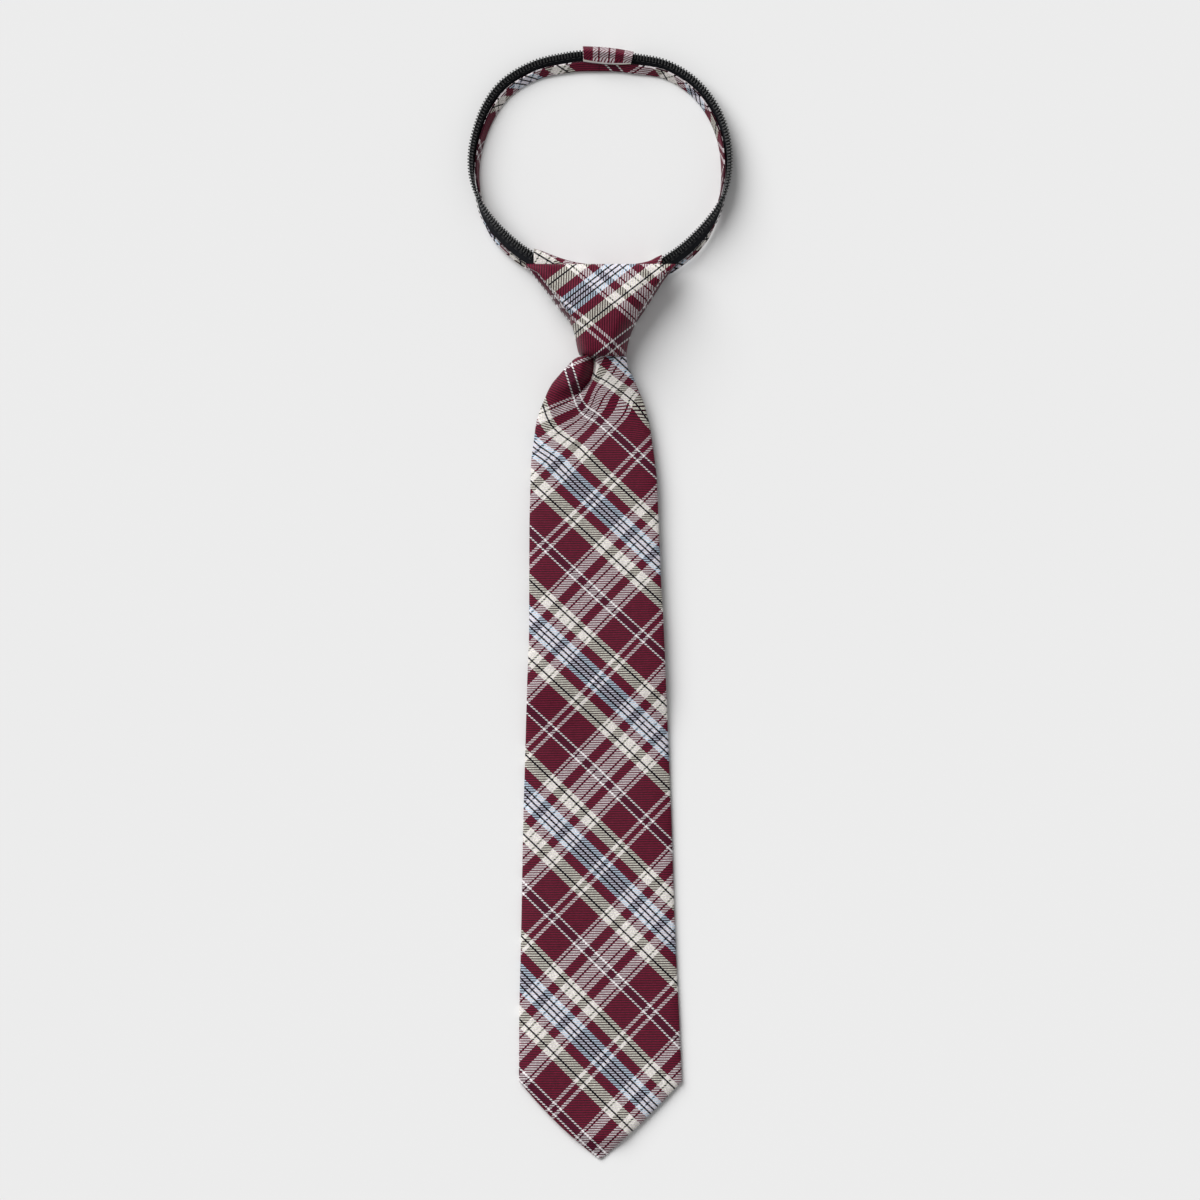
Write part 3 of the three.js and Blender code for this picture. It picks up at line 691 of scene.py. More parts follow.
    def threads(self, x: Array, down: Array, lobe: Array) -> Array:
        """Lie of the plaid on the front, drawn together towards the dimple.

        Args:
            x: Places to the right.
            down: Lengths below the knot's lower edge.
            lobe: True on the lobe to the left of the crease.

        Returns:
            Warp and weft in millimetres.
        """
        across = np.clip((x + 20) / 40, -0.3, 1.3)
        aside, along = (
            self.drift.read(f"{way}_left", down) * (1 - across) + self.drift.read(f"{way}_right", down) * across
            for way in ("aside", "along")
        )
        folded = self.lobe_plaid.lay(x + 0.4, self.lobe_end - down + 0.8)
        x, down = x + aside, down + along
        flat = self.plaid.lay(x, KNOT_FOOT - down)
        pulled = self.drawn + 0.1 * np.clip(4 - x, -8, 14)
        pulled = pulled * np.exp(-np.clip(down - 6.8, 0, None) / self.drawn_run)
        pulled = pulled * (1 - 0.32 * smooth((x + 6) / 8) * smooth((22 - down) / 6))
        pulled = pulled + smooth((x - 12) / 8) * bell(down - 26, 8)
        above = self.turned_run - down
        turned = (0.147 * (x - 5.6) + 0.195 * above) * smooth(above / 10)
        turned = turned - 2.5 * smooth((16 - down) / 12)
        right = flat + np.stack([pulled, turned], -1)
        below = (down - self.lobe_end + 0.414 * (x + 10.04)) * 0.924
        share = (1 - smooth(below / 20)) * (1 - smooth((x + 12) / 12))
        near = smooth((x + 14) / 8)[..., None]
        side = flat * (1 - near) + right * near
        share = np.where(lobe, 1.0, share)[..., None]
        return folded * share + side * (1 - share)

    def columns(self, crease: Array, down: Array) -> Array:
        """Places of the front's points across the blade, set close together beside the crease.

        Args:
            crease: The crease's share of the width at each place down.
            down: Lengths below the knot's lower edge.

        Returns:
            Shares of the width, shaped (places, points).
        """
        even = np.linspace(0, 1, self.fine)
        plain = even * 0.6 + (1 - np.cos(math.pi * even)) / 2 * 0.4
        pivot = self.crease_share
        near = (1 - smooth((down - self.crowd_end) / self.crowd_run))[:, None]
        middle = crease[:, None] * near + pivot * (1 - near)
        lower = middle * (1 - (1 - np.clip(even / pivot, 0, 1)) ** self.crowding)
        upper = middle + (1 - middle) * np.clip((even - pivot) / (1 - pivot), 0, 1) ** self.crowding
        close = np.where(even < pivot, lower, upper)
        return close * near + plain * (1 - near)

    def fold(self, aside: Array) -> Array:
        """Height that the fold beside the crease adds to the front.

        Args:
            aside: How far to the left of the crease each point lies.

        Returns:
            The heights, below nought in the crease.
        """
        wall = np.clip(aside / self.lobe_width, 0, 1)
        rise = (1 - (1 - wall) ** 2) ** 0.9
        lobe = self.lobe_rise * rise * np.exp(-np.clip(aside - self.lobe_width, 0, None) / 9)
        beyond = np.clip(-aside, 0, None)
        hollow = 0.72 * bell(beyond, 0.55) + 0.28 * np.exp(-beyond / 2.6)
        return np.where(aside > 0, lobe - self.crease_depth * (1 - rise), -self.crease_depth * hollow)

    def front(self, down: Array) -> tuple[Array, Array, Array]:
        """Front of the blade.

        Args:
            down: Lengths below the knot's lower edge.

        Returns:
            Places to the right, heights, and the mask of the lobe.
        """
        left, right = self.edges(down)
        place = self.crease.read("place", down)
        share = self.columns(np.clip((place - left) / (right - left), 0.1, 0.9), down)
        x = left[:, None] + (right - left)[:, None] * share
        crown = np.sqrt(1 - np.abs(2 * share - 1) ** 5)
        gathered = np.clip(1 - down / self.neck_run, 0, 1) ** 2
        thick = self.thickness + (self.neck_thickness - self.thickness) * np.clip(gathered, 0, 1)
        point = np.clip((BLADE_LENGTH - down) / 9, 0.25, 1)
        height = (thick * point)[:, None] * (0.42 + 0.58 * crown)
        slope = np.gradient(place, down)
        aside = (place[:, None] - x) / np.sqrt(1 + slope**2)[:, None]
        along = down[:, None]
        relief = self.fold(aside) * self.crease.read("depth", down)[:, None]
        for mound in self.mounds:
            relief = relief + mound.read(x, along)
        height = height + relief * crown
        wave = np.sin(x / 7.3 + along / 31) * np.sin(along / 13.7 + 1.3)
        height = height + self.wave * wave * crown * np.clip(along / self.wave_start, 0, 1)
        return x, np.maximum(height, self.least), (aside > 0) & (along < self.lobe_plaid_end)

    def lining_edge(self, down: Array) -> Array:
        """Half-width of the lined opening behind the point, below nought where there is none."""
        return np.minimum((down - self.opening) * 0.62, (BLADE_LENGTH - 8 - down) * 1.03)

    def back(self, x: Array, down: Array) -> Array:
        """How far the underside is raised by the seam and the lined opening.

        Args:
            x: Places to the right.
            down: Lengths below the knot's lower edge.

        Returns:
            Heights above the lowest layer of the back.
        """
        under = np.where(x < self.seam, self.seam_step, 0.0) * np.clip((self.opening - down) / 10, 0, 1)
        opened = smooth((self.lining_edge(down) - np.abs(x)) / 0.5) * 0.7
        return np.maximum(under, opened)

    def floor(self, down: Array) -> Array:
        """Height of the underside, which the closed zipper and the slider raise.

        Args:
            down: Lengths below the knot's lower edge.

        Returns:
            The heights.
        """
        share = np.clip(down / (BLADE_LENGTH - POINT_LENGTH), 0, 1)
        return self.outline.read("tail", share) * self.tail_room + self.outline.read("neck", share) * self.neck_room

    def underside(self, down: Array) -> Array:
        """Underside of the blade.

        Args:
            down: Lengths below the knot's lower edge.

        Returns:
            Its points from right to left.
        """
        even = np.linspace(1, 0, self.fine // 2)
        left, right = (edge[:, None] for edge in self.edges(down))
        x = left + (right - left) * even
        along = np.repeat(down[:, None], len(even), 1)
        rim = np.abs(2 * even - 1) ** 40 * self.rim
        low = self.floor(down)[:, None] + np.maximum(self.back(x, along), rim[None, :])
        return np.stack([x, KNOT_FOOT - along, low], -1)

    def tuck(self, rings: Array, down: Array) -> Array:
        """Gathers the neck of the blade inside the knot.

        Args:
            rings: The blade's rings.
            down: Their lengths below the knot's lower edge.

        Returns:
            The rings, the narrower for it.
        """
        tucked = down < 0
        room = KNOT_WIDTH / 8
        squeeze = np.where(tucked, np.minimum(1, room / np.abs(rings[..., 0]).max(1)), 1)
        roof = np.where(tucked, KNOT_HIGH[2] - self.roof, np.inf)
        x, y, z = np.moveaxis(rings, -1, 0)
        return np.stack([x * squeeze[:, None], y, np.minimum(z, roof[:, None])], -1)

    def build(self, cloth: bpy.types.Material, satin: bpy.types.Material) -> None:
        """Makes the blade and its lining, and hands them over.

        Args:
            cloth: The plaid's finish.
            satin: The lining's finish.
        """
        creased = np.arange(-self.neck_tuck, 36, 0.4)
        plain = np.arange(36, BLADE_LENGTH - POINT_LENGTH, 1.6)
        point = np.linspace(BLADE_LENGTH - POINT_LENGTH, BLADE_LENGTH - 0.4, 40)
        down = np.concatenate([creased, plain, point])
        x, height, lobe = self.front(down)
        grid = np.repeat(down[:, None], self.fine, 1)
        top = np.stack([x, KNOT_FOOT - grid, self.floor(down)[:, None] + height], -1)
        bottom = self.underside(down)
        rings = self.tuck(np.concatenate([top, bottom], 1), down)
        laid = self.threads(x, grid, lobe)
        left, right = (edge[:, None] for edge in self.edges(down))
        under = bottom[..., 0]
        folded_x = np.where(under < self.seam, 2 * left - under, 2 * right - under)
        behind = self.threads(folded_x, KNOT_FOOT - bottom[..., 1], np.zeros_like(folded_x, bool))
        blade = Loft(rings, closed(np.concatenate([laid, behind], 1))).build("blade_cloth", cloth)
        hand_over(blade, Kit.PLAID, "blade")
        self.build_lining(satin)

    def build_lining(self, satin: bpy.types.Material) -> None:
        """Makes the satin that shows behind the point.

        Args:
            satin: Its finish.
        """
        down = np.linspace(self.opening + 0.6, BLADE_LENGTH - 8.4, 40)
        half = np.maximum(self.lining_edge(down) + 0.3, 0.1)
        even = np.linspace(-1, 1, 24)
        around = np.concatenate([even, even[::-1]])
        level = np.repeat(self.lining_levels, len(even))
        x = half[:, None] * around
        rings = np.stack(np.broadcast_arrays(x, KNOT_FOOT - down[:, None], level), -1)
        lining = Loft(rings).build("point_lining", satin)
        hand_over(lining, Kit.PLAID)


@dataclass
class Knot:
    """Padded front of the knot and the cloth wrapped behind it over the bands."""

    crown: float = 4.2
    padding: float = 2.6
    side: float = 1.0
    cloth: float = 1.0
    fold: float = 2.2
    strip_drop: float = 0.8  # how far the strips beside the front lie below it
    lower_roll: tuple[float, float] = (0.07, 0.75)  # share of the length over which an edge is rolled over,
    upper_roll: tuple[float, float] = (0.05, 0.8)  # and share of the padding that it loses at its end
    bare: float = 0.2  # least height of the front's outer face above the ground
    fine: int = 90
    front_plaid: FlatPlaid = FlatPlaid((0.04, 116.48), (35.39, -5.72), (-52.0, -134.6), (1.081, 1.136))
    wrap_plaid: FlatPlaid = FlatPlaid((-22.8, 137.3), (37.15, 28.0), (58.7, -31.3))
    front: Rows = field(default_factory=lambda: Rows(
        "up left right crown foot square",
        (0.0, 0.235, 0.34, 0.1, 0, 2.6), (0.03, 0.285, 0.345, 0.35, 0, 2.6), (0.1, 0.312, 0.358, 0.6, 0, 2.7),
        (0.2, 0.335, 0.388, 0.8, 0, 2.8), (0.3, 0.365, 0.43, 0.92, 0, 3), (0.4, 0.433, 0.5, 0.98, 0, 3.2),
        (0.51, 0.553, 0.593, 1, 0, 3.5), (0.62, 0.65, 0.68, 0.95, 0, 4), (0.72, 0.74, 0.757, 0.85, 0.2, 4.5),
        (0.82, 0.84, 0.84, 0.66, 0.6, 5), (0.91, 0.925, 0.925, 0.46, 0.92, 5), (1.0, 0.993, 1.007, 0.2, 1, 5),
    ))
    wrap: Rows = field(default_factory=lambda: Rows(
        "across rise tuck",
        (-0.887, 0.17, 0.02), (-0.8, 0.15, 0.05), (-0.66, 0.108, 0.1), (-0.5, 0.06, 0.16), (-0.25, 0.012, 0.2),
        (0.0, -0.01, 0.2), (0.3, -0.01, 0.2), (0.5, 0.01, 0.16), (0.64, 0.035, 0.1), (0.74, 0.075, 0.06),
        (0.817, 0.105, 0.03),
    ))

    def arch(self, up: Array, inset: float) -> tuple[Array, ...]:
        """Section of the front.

        Args:
            up: Shares of the knot's length above its lower edge.
            inset: 0 for the outer face and 1 for the inner one.

        Returns:
            Middle, half-width, foot, top and squareness.
        """
        left = self.front.read("left", up) * KNOT_WIDTH / 2 - self.side * inset
        right = self.front.read("right", up) * KNOT_WIDTH / 2 - self.side * inset
        crown = self.front.read("crown", up) * self.crown
        foot = self.front.read("foot", up) * WRAP_TOP
        top = WRAP_TOP + GAP + crown + self.padding * (1 - inset)
        return (right - left) / 2, (right + left) / 2, foot, top, self.front.read("square", up)

    def front_rings(self) -> Array:
        """Rings of the padded front, rolled over at its lower and upper edges.

        Returns:
            The rings, in millimetres.
        """
        up = np.concatenate([np.linspace(0, 0.12, 12)[:-1], np.linspace(0.12, 0.9, 60)[:-1],
                             np.linspace(0.9, 1, 12)])
        turn = np.linspace(0, math.pi, self.fine)
        faces = []
        for inset, angle in ((0.0, turn), (1.0, turn[::-1])):
            middle, half, foot, top, square = (value[:, None] for value in self.arch(up, inset))
            power = 2 / square
            aside = np.sign(np.cos(angle)) * np.abs(np.cos(angle)) ** power
            rise = np.abs(np.sin(angle)) ** power
            if inset == 0:
                for (run, lost), along in ((self.lower_roll, up), (self.upper_roll, 1 - up)):
                    full = np.sqrt(1 - (1 - np.clip(along / run, 0, 1)) ** 2)[:, None]
                    top = top - self.padding * lost * (1 - full)
            x = MIDDLE + middle + half * aside
            y = KNOT_FOOT + np.repeat(up[:, None], self.fine, 1) * KNOT_LENGTH
            z = foot + (top - foot) * rise
            if inset == 0:
                dressed = z + self.folds(x, y) * rise - self.strip_drop * self.strips(x, y)[0]
                z = np.maximum(dressed, np.minimum(z, self.bare))
            faces.append(np.stack([x, y, z], -1))
        return np.concatenate(faces, 1)

    def strips(self, x: Array, y: Array) -> tuple[Array, Array]:
        """Strips of the under layer that show beside the front's two edges.

        Args:
            x: Places to the right.
            y: Places up the tie.

        Returns:
            How far each place is on such a strip, from 0 to 1, and the warp there in millimetres.
        """
        up = (y - KNOT_FOOT) / KNOT_LENGTH
        held = smooth((up - 0.36) / 0.1) * smooth((0.98 - up) / 0.1)
        share, warp = np.zeros_like(x), np.zeros_like(x)
        for side, way, width, start, rate in (("left", 1, 2.6, 49.3, 1.52), ("right", -1, 1.3, 51.5, 1.35)):
            inside = (x - MIDDLE) * way + self.front.read(side, up) * KNOT_WIDTH / 2
            on = smooth((width * held - inside) / 0.3 + 0.5) * (held > 0)
            warp = np.where(on > share, start + inside * rate, warp)
            share = np.maximum(share, on)
        return share, warp

    def folds(self, x: Array, y: Array) -> Array:
        """Soft folds of the front, from its upper corners to the middle of its lower edge.

        Args:
            x: Places to the right.
            y: Places up the tie.

        Returns:
            How far the folds raise each place.
        """
        across = x - MIDDLE
        up = y - KNOT_FOOT
        left = across + 3.0 + up * 0.55
        right = across - 4.0 - up * 0.5
        soft = np.clip(up / KNOT_LENGTH, 0, 1)
        ridge = 0.5 * bell(left, 3.2) - 0.45 * bell(left - 5.5, 3.0)
        groove = -0.5 * bell(right, 1.8) + 0.35 * bell(right + 4, 3.0)
        return ridge * soft + groove * (1 - soft * 0.6)

    def wrap_rings(self) -> tuple[Array, Array]:
        """Rings of the wrap behind the knot.

        Returns:
            The rings from left to right, and the length of cloth round each.
        """
        across = np.linspace(-0.887, 0.817, 90)
        x = across * KNOT_WIDTH / 2
        top = KNOT_LENGTH * (1 + self.wrap.read("rise", across))
        free = KNOT_LENGTH * (1 - self.wrap.read("tuck", across))
        up = np.linspace(0, 1, 200)
        sides = [self.front.read(side, up) * KNOT_WIDTH / 2 - self.side - 2 * GAP for side in ("left", "right")]
        rings, lengths = [], []
        for place, high, edge in zip(x, top, free):
            room = sides[0] if place < 0 else sides[1]
            clear = np.nonzero(abs(place) >= room)[0]
            floor = 0.0 if len(clear) == 0 else up[min(clear[-1] + 1, len(up) - 1)] * KNOT_LENGTH
            floor = min(floor, edge - self.cloth)
            faces = [self.wrap_face(floor, high, edge, inset) for inset in (0.0, self.cloth)]
            section = np.concatenate([faces[0], faces[1][::-1]])
            lengths.append(np.concatenate([[0], np.cumsum(np.hypot(*np.diff(section, axis=0).T))]))
            rings.append(np.column_stack([np.full(len(section), MIDDLE + place),
                                          KNOT_FOOT + section[:, 0], section[:, 1]]))
        return np.array(rings), np.array(lengths)

    def wrap_face(self, floor: float, top: float, free: float, inset: float) -> Array:
        """One face of the wrap's section: up the back, over the fold and down under the front.

        Args:
            floor: Lowest place of the back cloth along the knot.
            top: Highest place of the fold.
            free: Place of the cloth's free edge.
            inset: Depth of this face below the outer one.

        Returns:
            Places along the knot and heights.
        """
        radius = self.fold - inset
        middle = top - self.fold
        angles = np.radians(np.linspace(-90, 0, 9))
        lower = np.column_stack([middle + radius * np.cos(angles), GAP + self.fold + radius * np.sin(angles)])
        angles = np.radians(np.linspace(0, 90, 9))
        height = WRAP_TOP - self.fold
        upper = np.column_stack([middle + radius * np.cos(angles), height + radius * np.sin(angles)])
        back = np.column_stack([np.linspace(floor, middle, 7)[:-1], np.full(6, GAP + inset)])
        end = min(free, middle - GAP)
        under = np.column_stack([np.linspace(middle, end, 4)[1:], np.full(3, WRAP_TOP - inset)])
        return np.concatenate([back, lower, upper, under])

    def build(self, cloth: bpy.types.Material) -> None:
        """Makes both pieces of the knot and hands them over.

        Args:
            cloth: The plaid's finish.
        """
        rings = self.front_rings()
        pull = (8.04 - rings[..., 0]) * smooth((rings[..., 1] - KNOT_FOOT) / KNOT_LENGTH * 1.6 + 0.15)
        laid = self.front_plaid.lay(rings[..., 0] + 0.085 * pull, rings[..., 1] + 0.06 * pull)
        on, warp = self.strips(rings[..., 0], rings[..., 1])
        laid = np.where(on[..., None] > 0.5, np.stack([warp, rings[..., 1] * 0.9], -1), laid)
        front = Loft(rings, closed(laid)).build("knot_cloth", cloth)
        hand_over(front, Kit.PLAID, "knot_front")
        rings, lengths = self.wrap_rings()
        half = rings.shape[1] // 2
        run = np.where(np.arange(2 * half) < half, lengths, 2 * lengths[:, half - 1 : half] - lengths)
        bend = half - 4
        laid = self.wrap_plaid.lay(rings[..., 0], rings[:, bend : bend + 1, 1] + run[:, bend : bend + 1] - run)
        wrap = Loft(rings, closed(laid)).build("knot_wrap", cloth)
        hand_over(wrap, Kit.PLAID, "knot_back")


class Side(Enum):
    """The two halves of the neck band."""

    LEFT = -1
    RIGHT = 1


@dataclass
class Band:
    """One half of the neck band: plaid strip, zipper tape and coil, from the loop's top to its tail."""

    side: Side
    width: float = 8.8
    strip_width: float = 4.4
    strip_thickness: float = 1.0
    tape_inset: float = 1.3
    tape_thickness: float = 0.9
    coil_width: float = 2.2
    coil_thickness: float = 2.0
    pitch: float = 1.2
    wire: float = 0.72
    chain_width: float = 3.6
    loop_radius: float = 52.0
    loop_offset: float = -0.2
    mouth_rise: float = 2.0
    mouth_inset: float = 1.9
    chain_offset: float = 0.6
    tail: float = 120.0
    settle: float = 14.0
    slider_rise: float = 2.15

    LOOP = {
        Side.LEFT: Rows(
            "around radius lean lift",
            (-0.136, 0.722, 148, 0), (0.0, 0.692, 153, 0), (0.136, 0.722, 148, 0), (0.272, 0.8, 140, 0),
            (0.408, 0.884, 135, 0), (0.544, 0.933, 121, 0), (0.68, 0.986, 104, 0), (0.748, 1.0, 89, 0.1),
            (0.82, 1.012, 58, 0.4), (0.91, 1.004, 39, 0.75), (1.0, 0.998, 34, 0.95),
        ),
        Side.RIGHT: Rows(
            "around radius lean lift",
            (-0.136, 0.716, 147, 0), (0.0, 0.692, 153, 0), (0.136, 0.716, 147, 0), (0.272, 0.808, 134, 0),
            (0.408, 0.888, 124, 0), (0.544, 0.946, 116, 0), (0.68, 0.988, 103, 0), (0.748, 1.006, 89, 0.1),
            (0.82, 1.014, 60, 0.4), (0.91, 1.014, 39, 0.75), (1.0, 1.014, 33, 0.95),
        ),
    }
    LOOP_STEPS = np.linspace(0, 1, 29)  # places of the loop's route, as shares of it
    FINE = 40  # points of the route from one place to the next
    THROAT = (
        (0.765, 0.93, 28), (0.53, 0.83, 16), (0.31, 0.7, 6), (0.13, 0.54, 0), (0.04, 0.44, 0),
        (0.005, 0.36, 0), (0.0, 0.3, 0), (0.0, 0.0, 0),
    )

    def __post_init__(self) -> None:
        """Works out the band's route."""
        self.sign = float(self.side.value)
        self.tape_edge = self.width - self.coil_width - GAP
        self.strip_drop = GAP + self.strip_thickness
        self.coil_drop = (self.coil_thickness - self.tape_thickness) / 2
        self.trace()

    def standing(self, lean: float) -> float:
        """Lowest height at which a leaning band clears the surface.

        Args:
            lean: The band's lean, from 0 where it lies with its coil inwards.

        Returns:
            The height of the band's middle.
        """
        half = self.width / 2
        corners = (
            (-half, -self.strip_drop), (-half, -GAP), (self.tape_inset - half, self.tape_thickness),
            (half, -self.coil_drop), (half, self.tape_thickness + self.coil_drop),
        )
        return max(-(u * math.sin(lean) + v * math.cos(lean)) for u, v in corners)

    def trace(self) -> None:
        """Lays the route of the band's middle and keeps it by length, with the band's lean."""
        mouth = KNOT_WIDTH / 2 - self.mouth_inset
        angle = math.pi - math.asin(mouth / self.loop_radius)
        centre = KNOT_LENGTH + self.mouth_rise - self.loop_radius * math.cos(angle)
        rows = self.LOOP[self.side]
        start = GAP / 2 / (self.loop_radius * 0.713 * angle)
        places, leans = [], []

        def add(x: float, y: float, degrees: float, lift: float) -> None:
            """Adds one place of the route, with its lean and its share of the rise to the slider."""
            lean = math.radians(degrees)
            places.append((x, y, self.standing(lean) + lift * self.slider_rise))
            leans.append(lean)

        for around in start + (1 - start) * self.LOOP_STEPS:
            radius = float(rows.read("radius", around)) * self.loop_radius
            turn = self.sign * around * angle
            add(self.loop_offset + radius * math.sin(turn), centre + radius * math.cos(turn),
                float(rows.read("lean", around)), float(rows.read("lift", around)))
        aside = self.chain_width / 2 + GAP + self.tape_edge - self.width / 2
        for share, up, lean in self.THROAT:
            x = self.chain_offset + self.sign * (aside + share * (mouth - aside))
            add(x, up * KNOT_LENGTH, lean, 1)
        x = self.chain_offset + self.sign * aside
        for y in (-self.settle, -self.settle - 3, -self.tail):
            add(x, y, 0, 0)
        self.follow(np.array(places), np.array(leans))

    def follow(self, places: Array, leans: Array) -> None:
        """Draws a centripetal curve through the places and measures it.

        Args:
            places: Places of the route.
            leans: The band's lean at each.
        """
        ends = [2 * places[0] - places[1], 2 * places[-1] - places[-2]]
        knots = np.vstack([ends[0], places, ends[1]])
        points, tilts = [], []
        for i in range(len(places) - 1):
            p0, p1, p2, p3 = knots[i : i + 4]
            d0, d1, d2 = (math.sqrt(np.linalg.norm(b - a)) for a, b in ((p0, p1), (p1, p2), (p2, p3)))
            t1 = ((p1 - p0) / d0 - (p2 - p0) / (d0 + d1) + (p2 - p1) / d1) * d1
            t2 = ((p2 - p1) / d1 - (p3 - p1) / (d1 + d2) + (p3 - p2) / d2) * d1
            t = np.linspace(0, 1, self.FINE, endpoint=False)[:, None]
            points.append(p1 + t1 * t + (-3 * p1 + 3 * p2 - 2 * t1 - t2) * t**2
                          + (2 * p1 - 2 * p2 + t1 + t2) * t**3)
            tilts.append(leans[i] + (leans[i + 1] - leans[i]) * t[:, 0])
        self.points = np.vstack([*points, places[-1:]])
        self.tilts = np.concatenate([*tilts, leans[-1:]])
        run = np.linalg.norm(np.diff(self.points, axis=0), axis=1)
        self.lengths = np.concatenate([[0], np.cumsum(run)])
        self.length = float(self.lengths[-1])

    def station(self, at: Array) -> tuple[Array, Array, Array]:
        """Frame of the band at lengths from the loop's top.

        Args:
            at: The lengths.

        Returns:
            The middle, the way across the band towards its coil, and the way through it.
        """
        def pick(along: Array) -> Array:
            """Places of the route at lengths along it."""
            return np.stack([np.interp(along, self.lengths, self.points[:, k]) for k in range(3)], -1)

        middle = pick(at)
        ahead = pick(np.minimum(at + 0.4, self.length)) - pick(np.maximum(at - 0.4, 0))
        tangent = ahead / np.linalg.norm(ahead, axis=1, keepdims=True)
        up = np.array([0.0, 0.0, 1.0])
        inward = np.cross(up, tangent)
        inward *= -self.sign / np.linalg.norm(inward, axis=1, keepdims=True)
        raised = -self.sign * np.cross(tangent, inward)
        lean = np.interp(at, self.lengths, self.tilts)[:, None]
        across = inward * np.cos(lean) + raised * np.sin(lean)
        through = -inward * np.sin(lean) + raised * np.cos(lean)
        middle = middle + np.array([MIDDLE, KNOT_FOOT, 0.0])
        return middle, across, through

    def sweep(self, at: Array, section: Array) -> Array:
        """Rings of a section along the route.

        Args:
            at: Lengths from the loop's top.
            section: Points across and through the band, from its plaid edge and its tape's back.

        Returns:
            The rings.
        """
        middle, across, through = self.station(at)
        u = (section[..., 0] - self.width / 2)[..., None]
        rings = middle[:, None] + across[:, None] * u + through[:, None] * section[..., 1][..., None]
        if at[0] == 0:
            rings[0, :, 0] = MIDDLE + self.loop_offset
        return rings

    @staticmethod
    def rounded(low: tuple[float, float], high: tuple[float, float], radius: float, fine: int = 5) -> Array:
        """Points of a box section with rounded corners.

        Args:
            low: Its lowest corner.
            high: Its highest corner.
            radius: The corners' radius.
            fine: Points in each corner.

        Returns:
            The points, shaped (points, 2).
        """
        points = []
        middles = ((high[0] - radius, high[1] - radius), (low[0] + radius, high[1] - radius),
                   (low[0] + radius, low[1] + radius), (high[0] - radius, low[1] + radius))
        for quarter, middle in enumerate(middles):
            for step in range(fine):
                turn = math.pi / 2 * (quarter + step / (fine - 1))
                points.append((middle[0] + radius * math.cos(turn), middle[1] + radius * math.sin(turn)))
            if quarter in (0, 2):
                start, level = points[-1]
                end = middles[quarter + 1][0]
                points.extend((start + (end - start) * share, level) for share in (0.25, 0.5, 0.75))
        return np.array(points)

    @property
    def name(self) -> str:
        """The side as a word."""
        return self.side.name.lower()

    def strip_threads(self, at: Array, section: Array) -> Array:
        """Bias-cut plaid on the strip, laid so that its stripes fall as they do round the loop.

        Args:
            at: Lengths from the loop's top.
            section: The strip's section.

        Returns:
            Shares of the repeat.
        """
        sky = 31.5 if self.side is Side.LEFT else 43.4
        outer = section[:, 1] < -(GAP + self.strip_drop) / 2
        across = np.where(outer, section[:, 0] - self.strip_width / 2, -self.strip_width * 0.7 - section[:, 0])
        s, w = np.meshgrid(at, np.append(across, across[0]) * self.sign, indexing="ij")
        warp = (s - sky + w) * math.sqrt(0.5) + 25.6
        weft = (s - w) * math.sqrt(0.5) + 6.0
        return np.stack([warp, weft], -1) / REPEAT

    def tape_threads(self, at: Array, section: Array) -> Array:
        """Lengths along and round the tape.

        Args:
            at: Lengths from the loop's top.
            section: The tape's section.

        Returns:
            The lengths, as shares of the plaid's repeat.
        """
        girth = np.concatenate([[0], np.cumsum(np.hypot(*np.diff(section, axis=0).T))])
        girth = np.append(girth, girth[-1] + math.hypot(*(section[0] - section[-1])))
        return np.stack(np.meshgrid(at, girth, indexing="ij"), -1) / REPEAT

    def build(self, cloth: bpy.types.Material, tape: bpy.types.Material) -> None:
        """Makes the strip and the tape, and hands them over.

        Args:
            cloth: The strip's finish.
            tape: The tape's finish.
        """
        at = np.concatenate([np.arange(0, self.length - self.tail + self.settle, 0.8),
                             np.arange(self.length - self.tail + self.settle, self.length, 4.0), [self.length]])
        puff = self.rounded((0.0, -self.strip_drop), (self.strip_width, -GAP), 0.48)
        wider = np.repeat(puff[None], len(at), 0)
        wider[..., 0] -= self.strip_wider(at)[:, None] * np.clip(1 - puff[:, 0] / 2, 0, 1)
        strip = Loft(self.sweep(at, wider), self.strip_threads(at, puff))
        hand_over(strip.build(f"strip_cloth_{self.name}", cloth), Kit.PLAID, f"plaid_strip_{self.name}")
        flat = self.rounded((self.tape_inset + 0.9, 0.2), (self.width - 0.6, 0.7), 0.24)  # thinner than its solid
        woven = Loft(self.sweep(at, flat[None]), self.tape_threads(at, flat))
        hand_over(woven.build(f"tape_weave_{self.name}", tape), Kit.TAPE, f"zipper_tape_{self.name}")

    def strip_wider(self, at: Array) -> Array:
        """How much further the strip's edge stands out where the band rises to the knot."""
        throat = float(self.lengths[(len(self.LOOP_STEPS) - 1) * self.FINE])
        return 0.9 * smooth((at - 0.79 * throat) / 10) * smooth((throat + 6 - at) / 6)

    def reach(self) -> float:
        """Place at which the coil meets the other one.

        Returns:
            Its length from the loop's top.
        """
        aside = np.abs(self.points[:, 0] - self.chain_offset)
        near = np.nonzero((aside <= self.width / 2 + GAP) & (self.lengths > self.length / 4))[0]
        return float(self.lengths[near[0]])

    def turns(self, at: Array, across: float, through: float) -> tuple[Array, list[Vector]]:
        """Places on the band and the turn of a piece that is set there.

        Args:
            at: Lengths from the loop's top.
            across: Place across the band from its plaid edge.
            through: Place through it from the tape's back.

        Returns:
            The places, and for each the Euler turn of local X across and local Y through the band.
        """
        middle, u, v = self.station(at)
        places = middle + u * (across - self.width / 2) + v * through
        eulers = []
        for i in range(len(at)):
            axes = Matrix((u[i], v[i], np.cross(u[i], v[i]))).transposed()
            eulers.append(Vector(axes.to_euler("XYZ")))
        return places, eulers


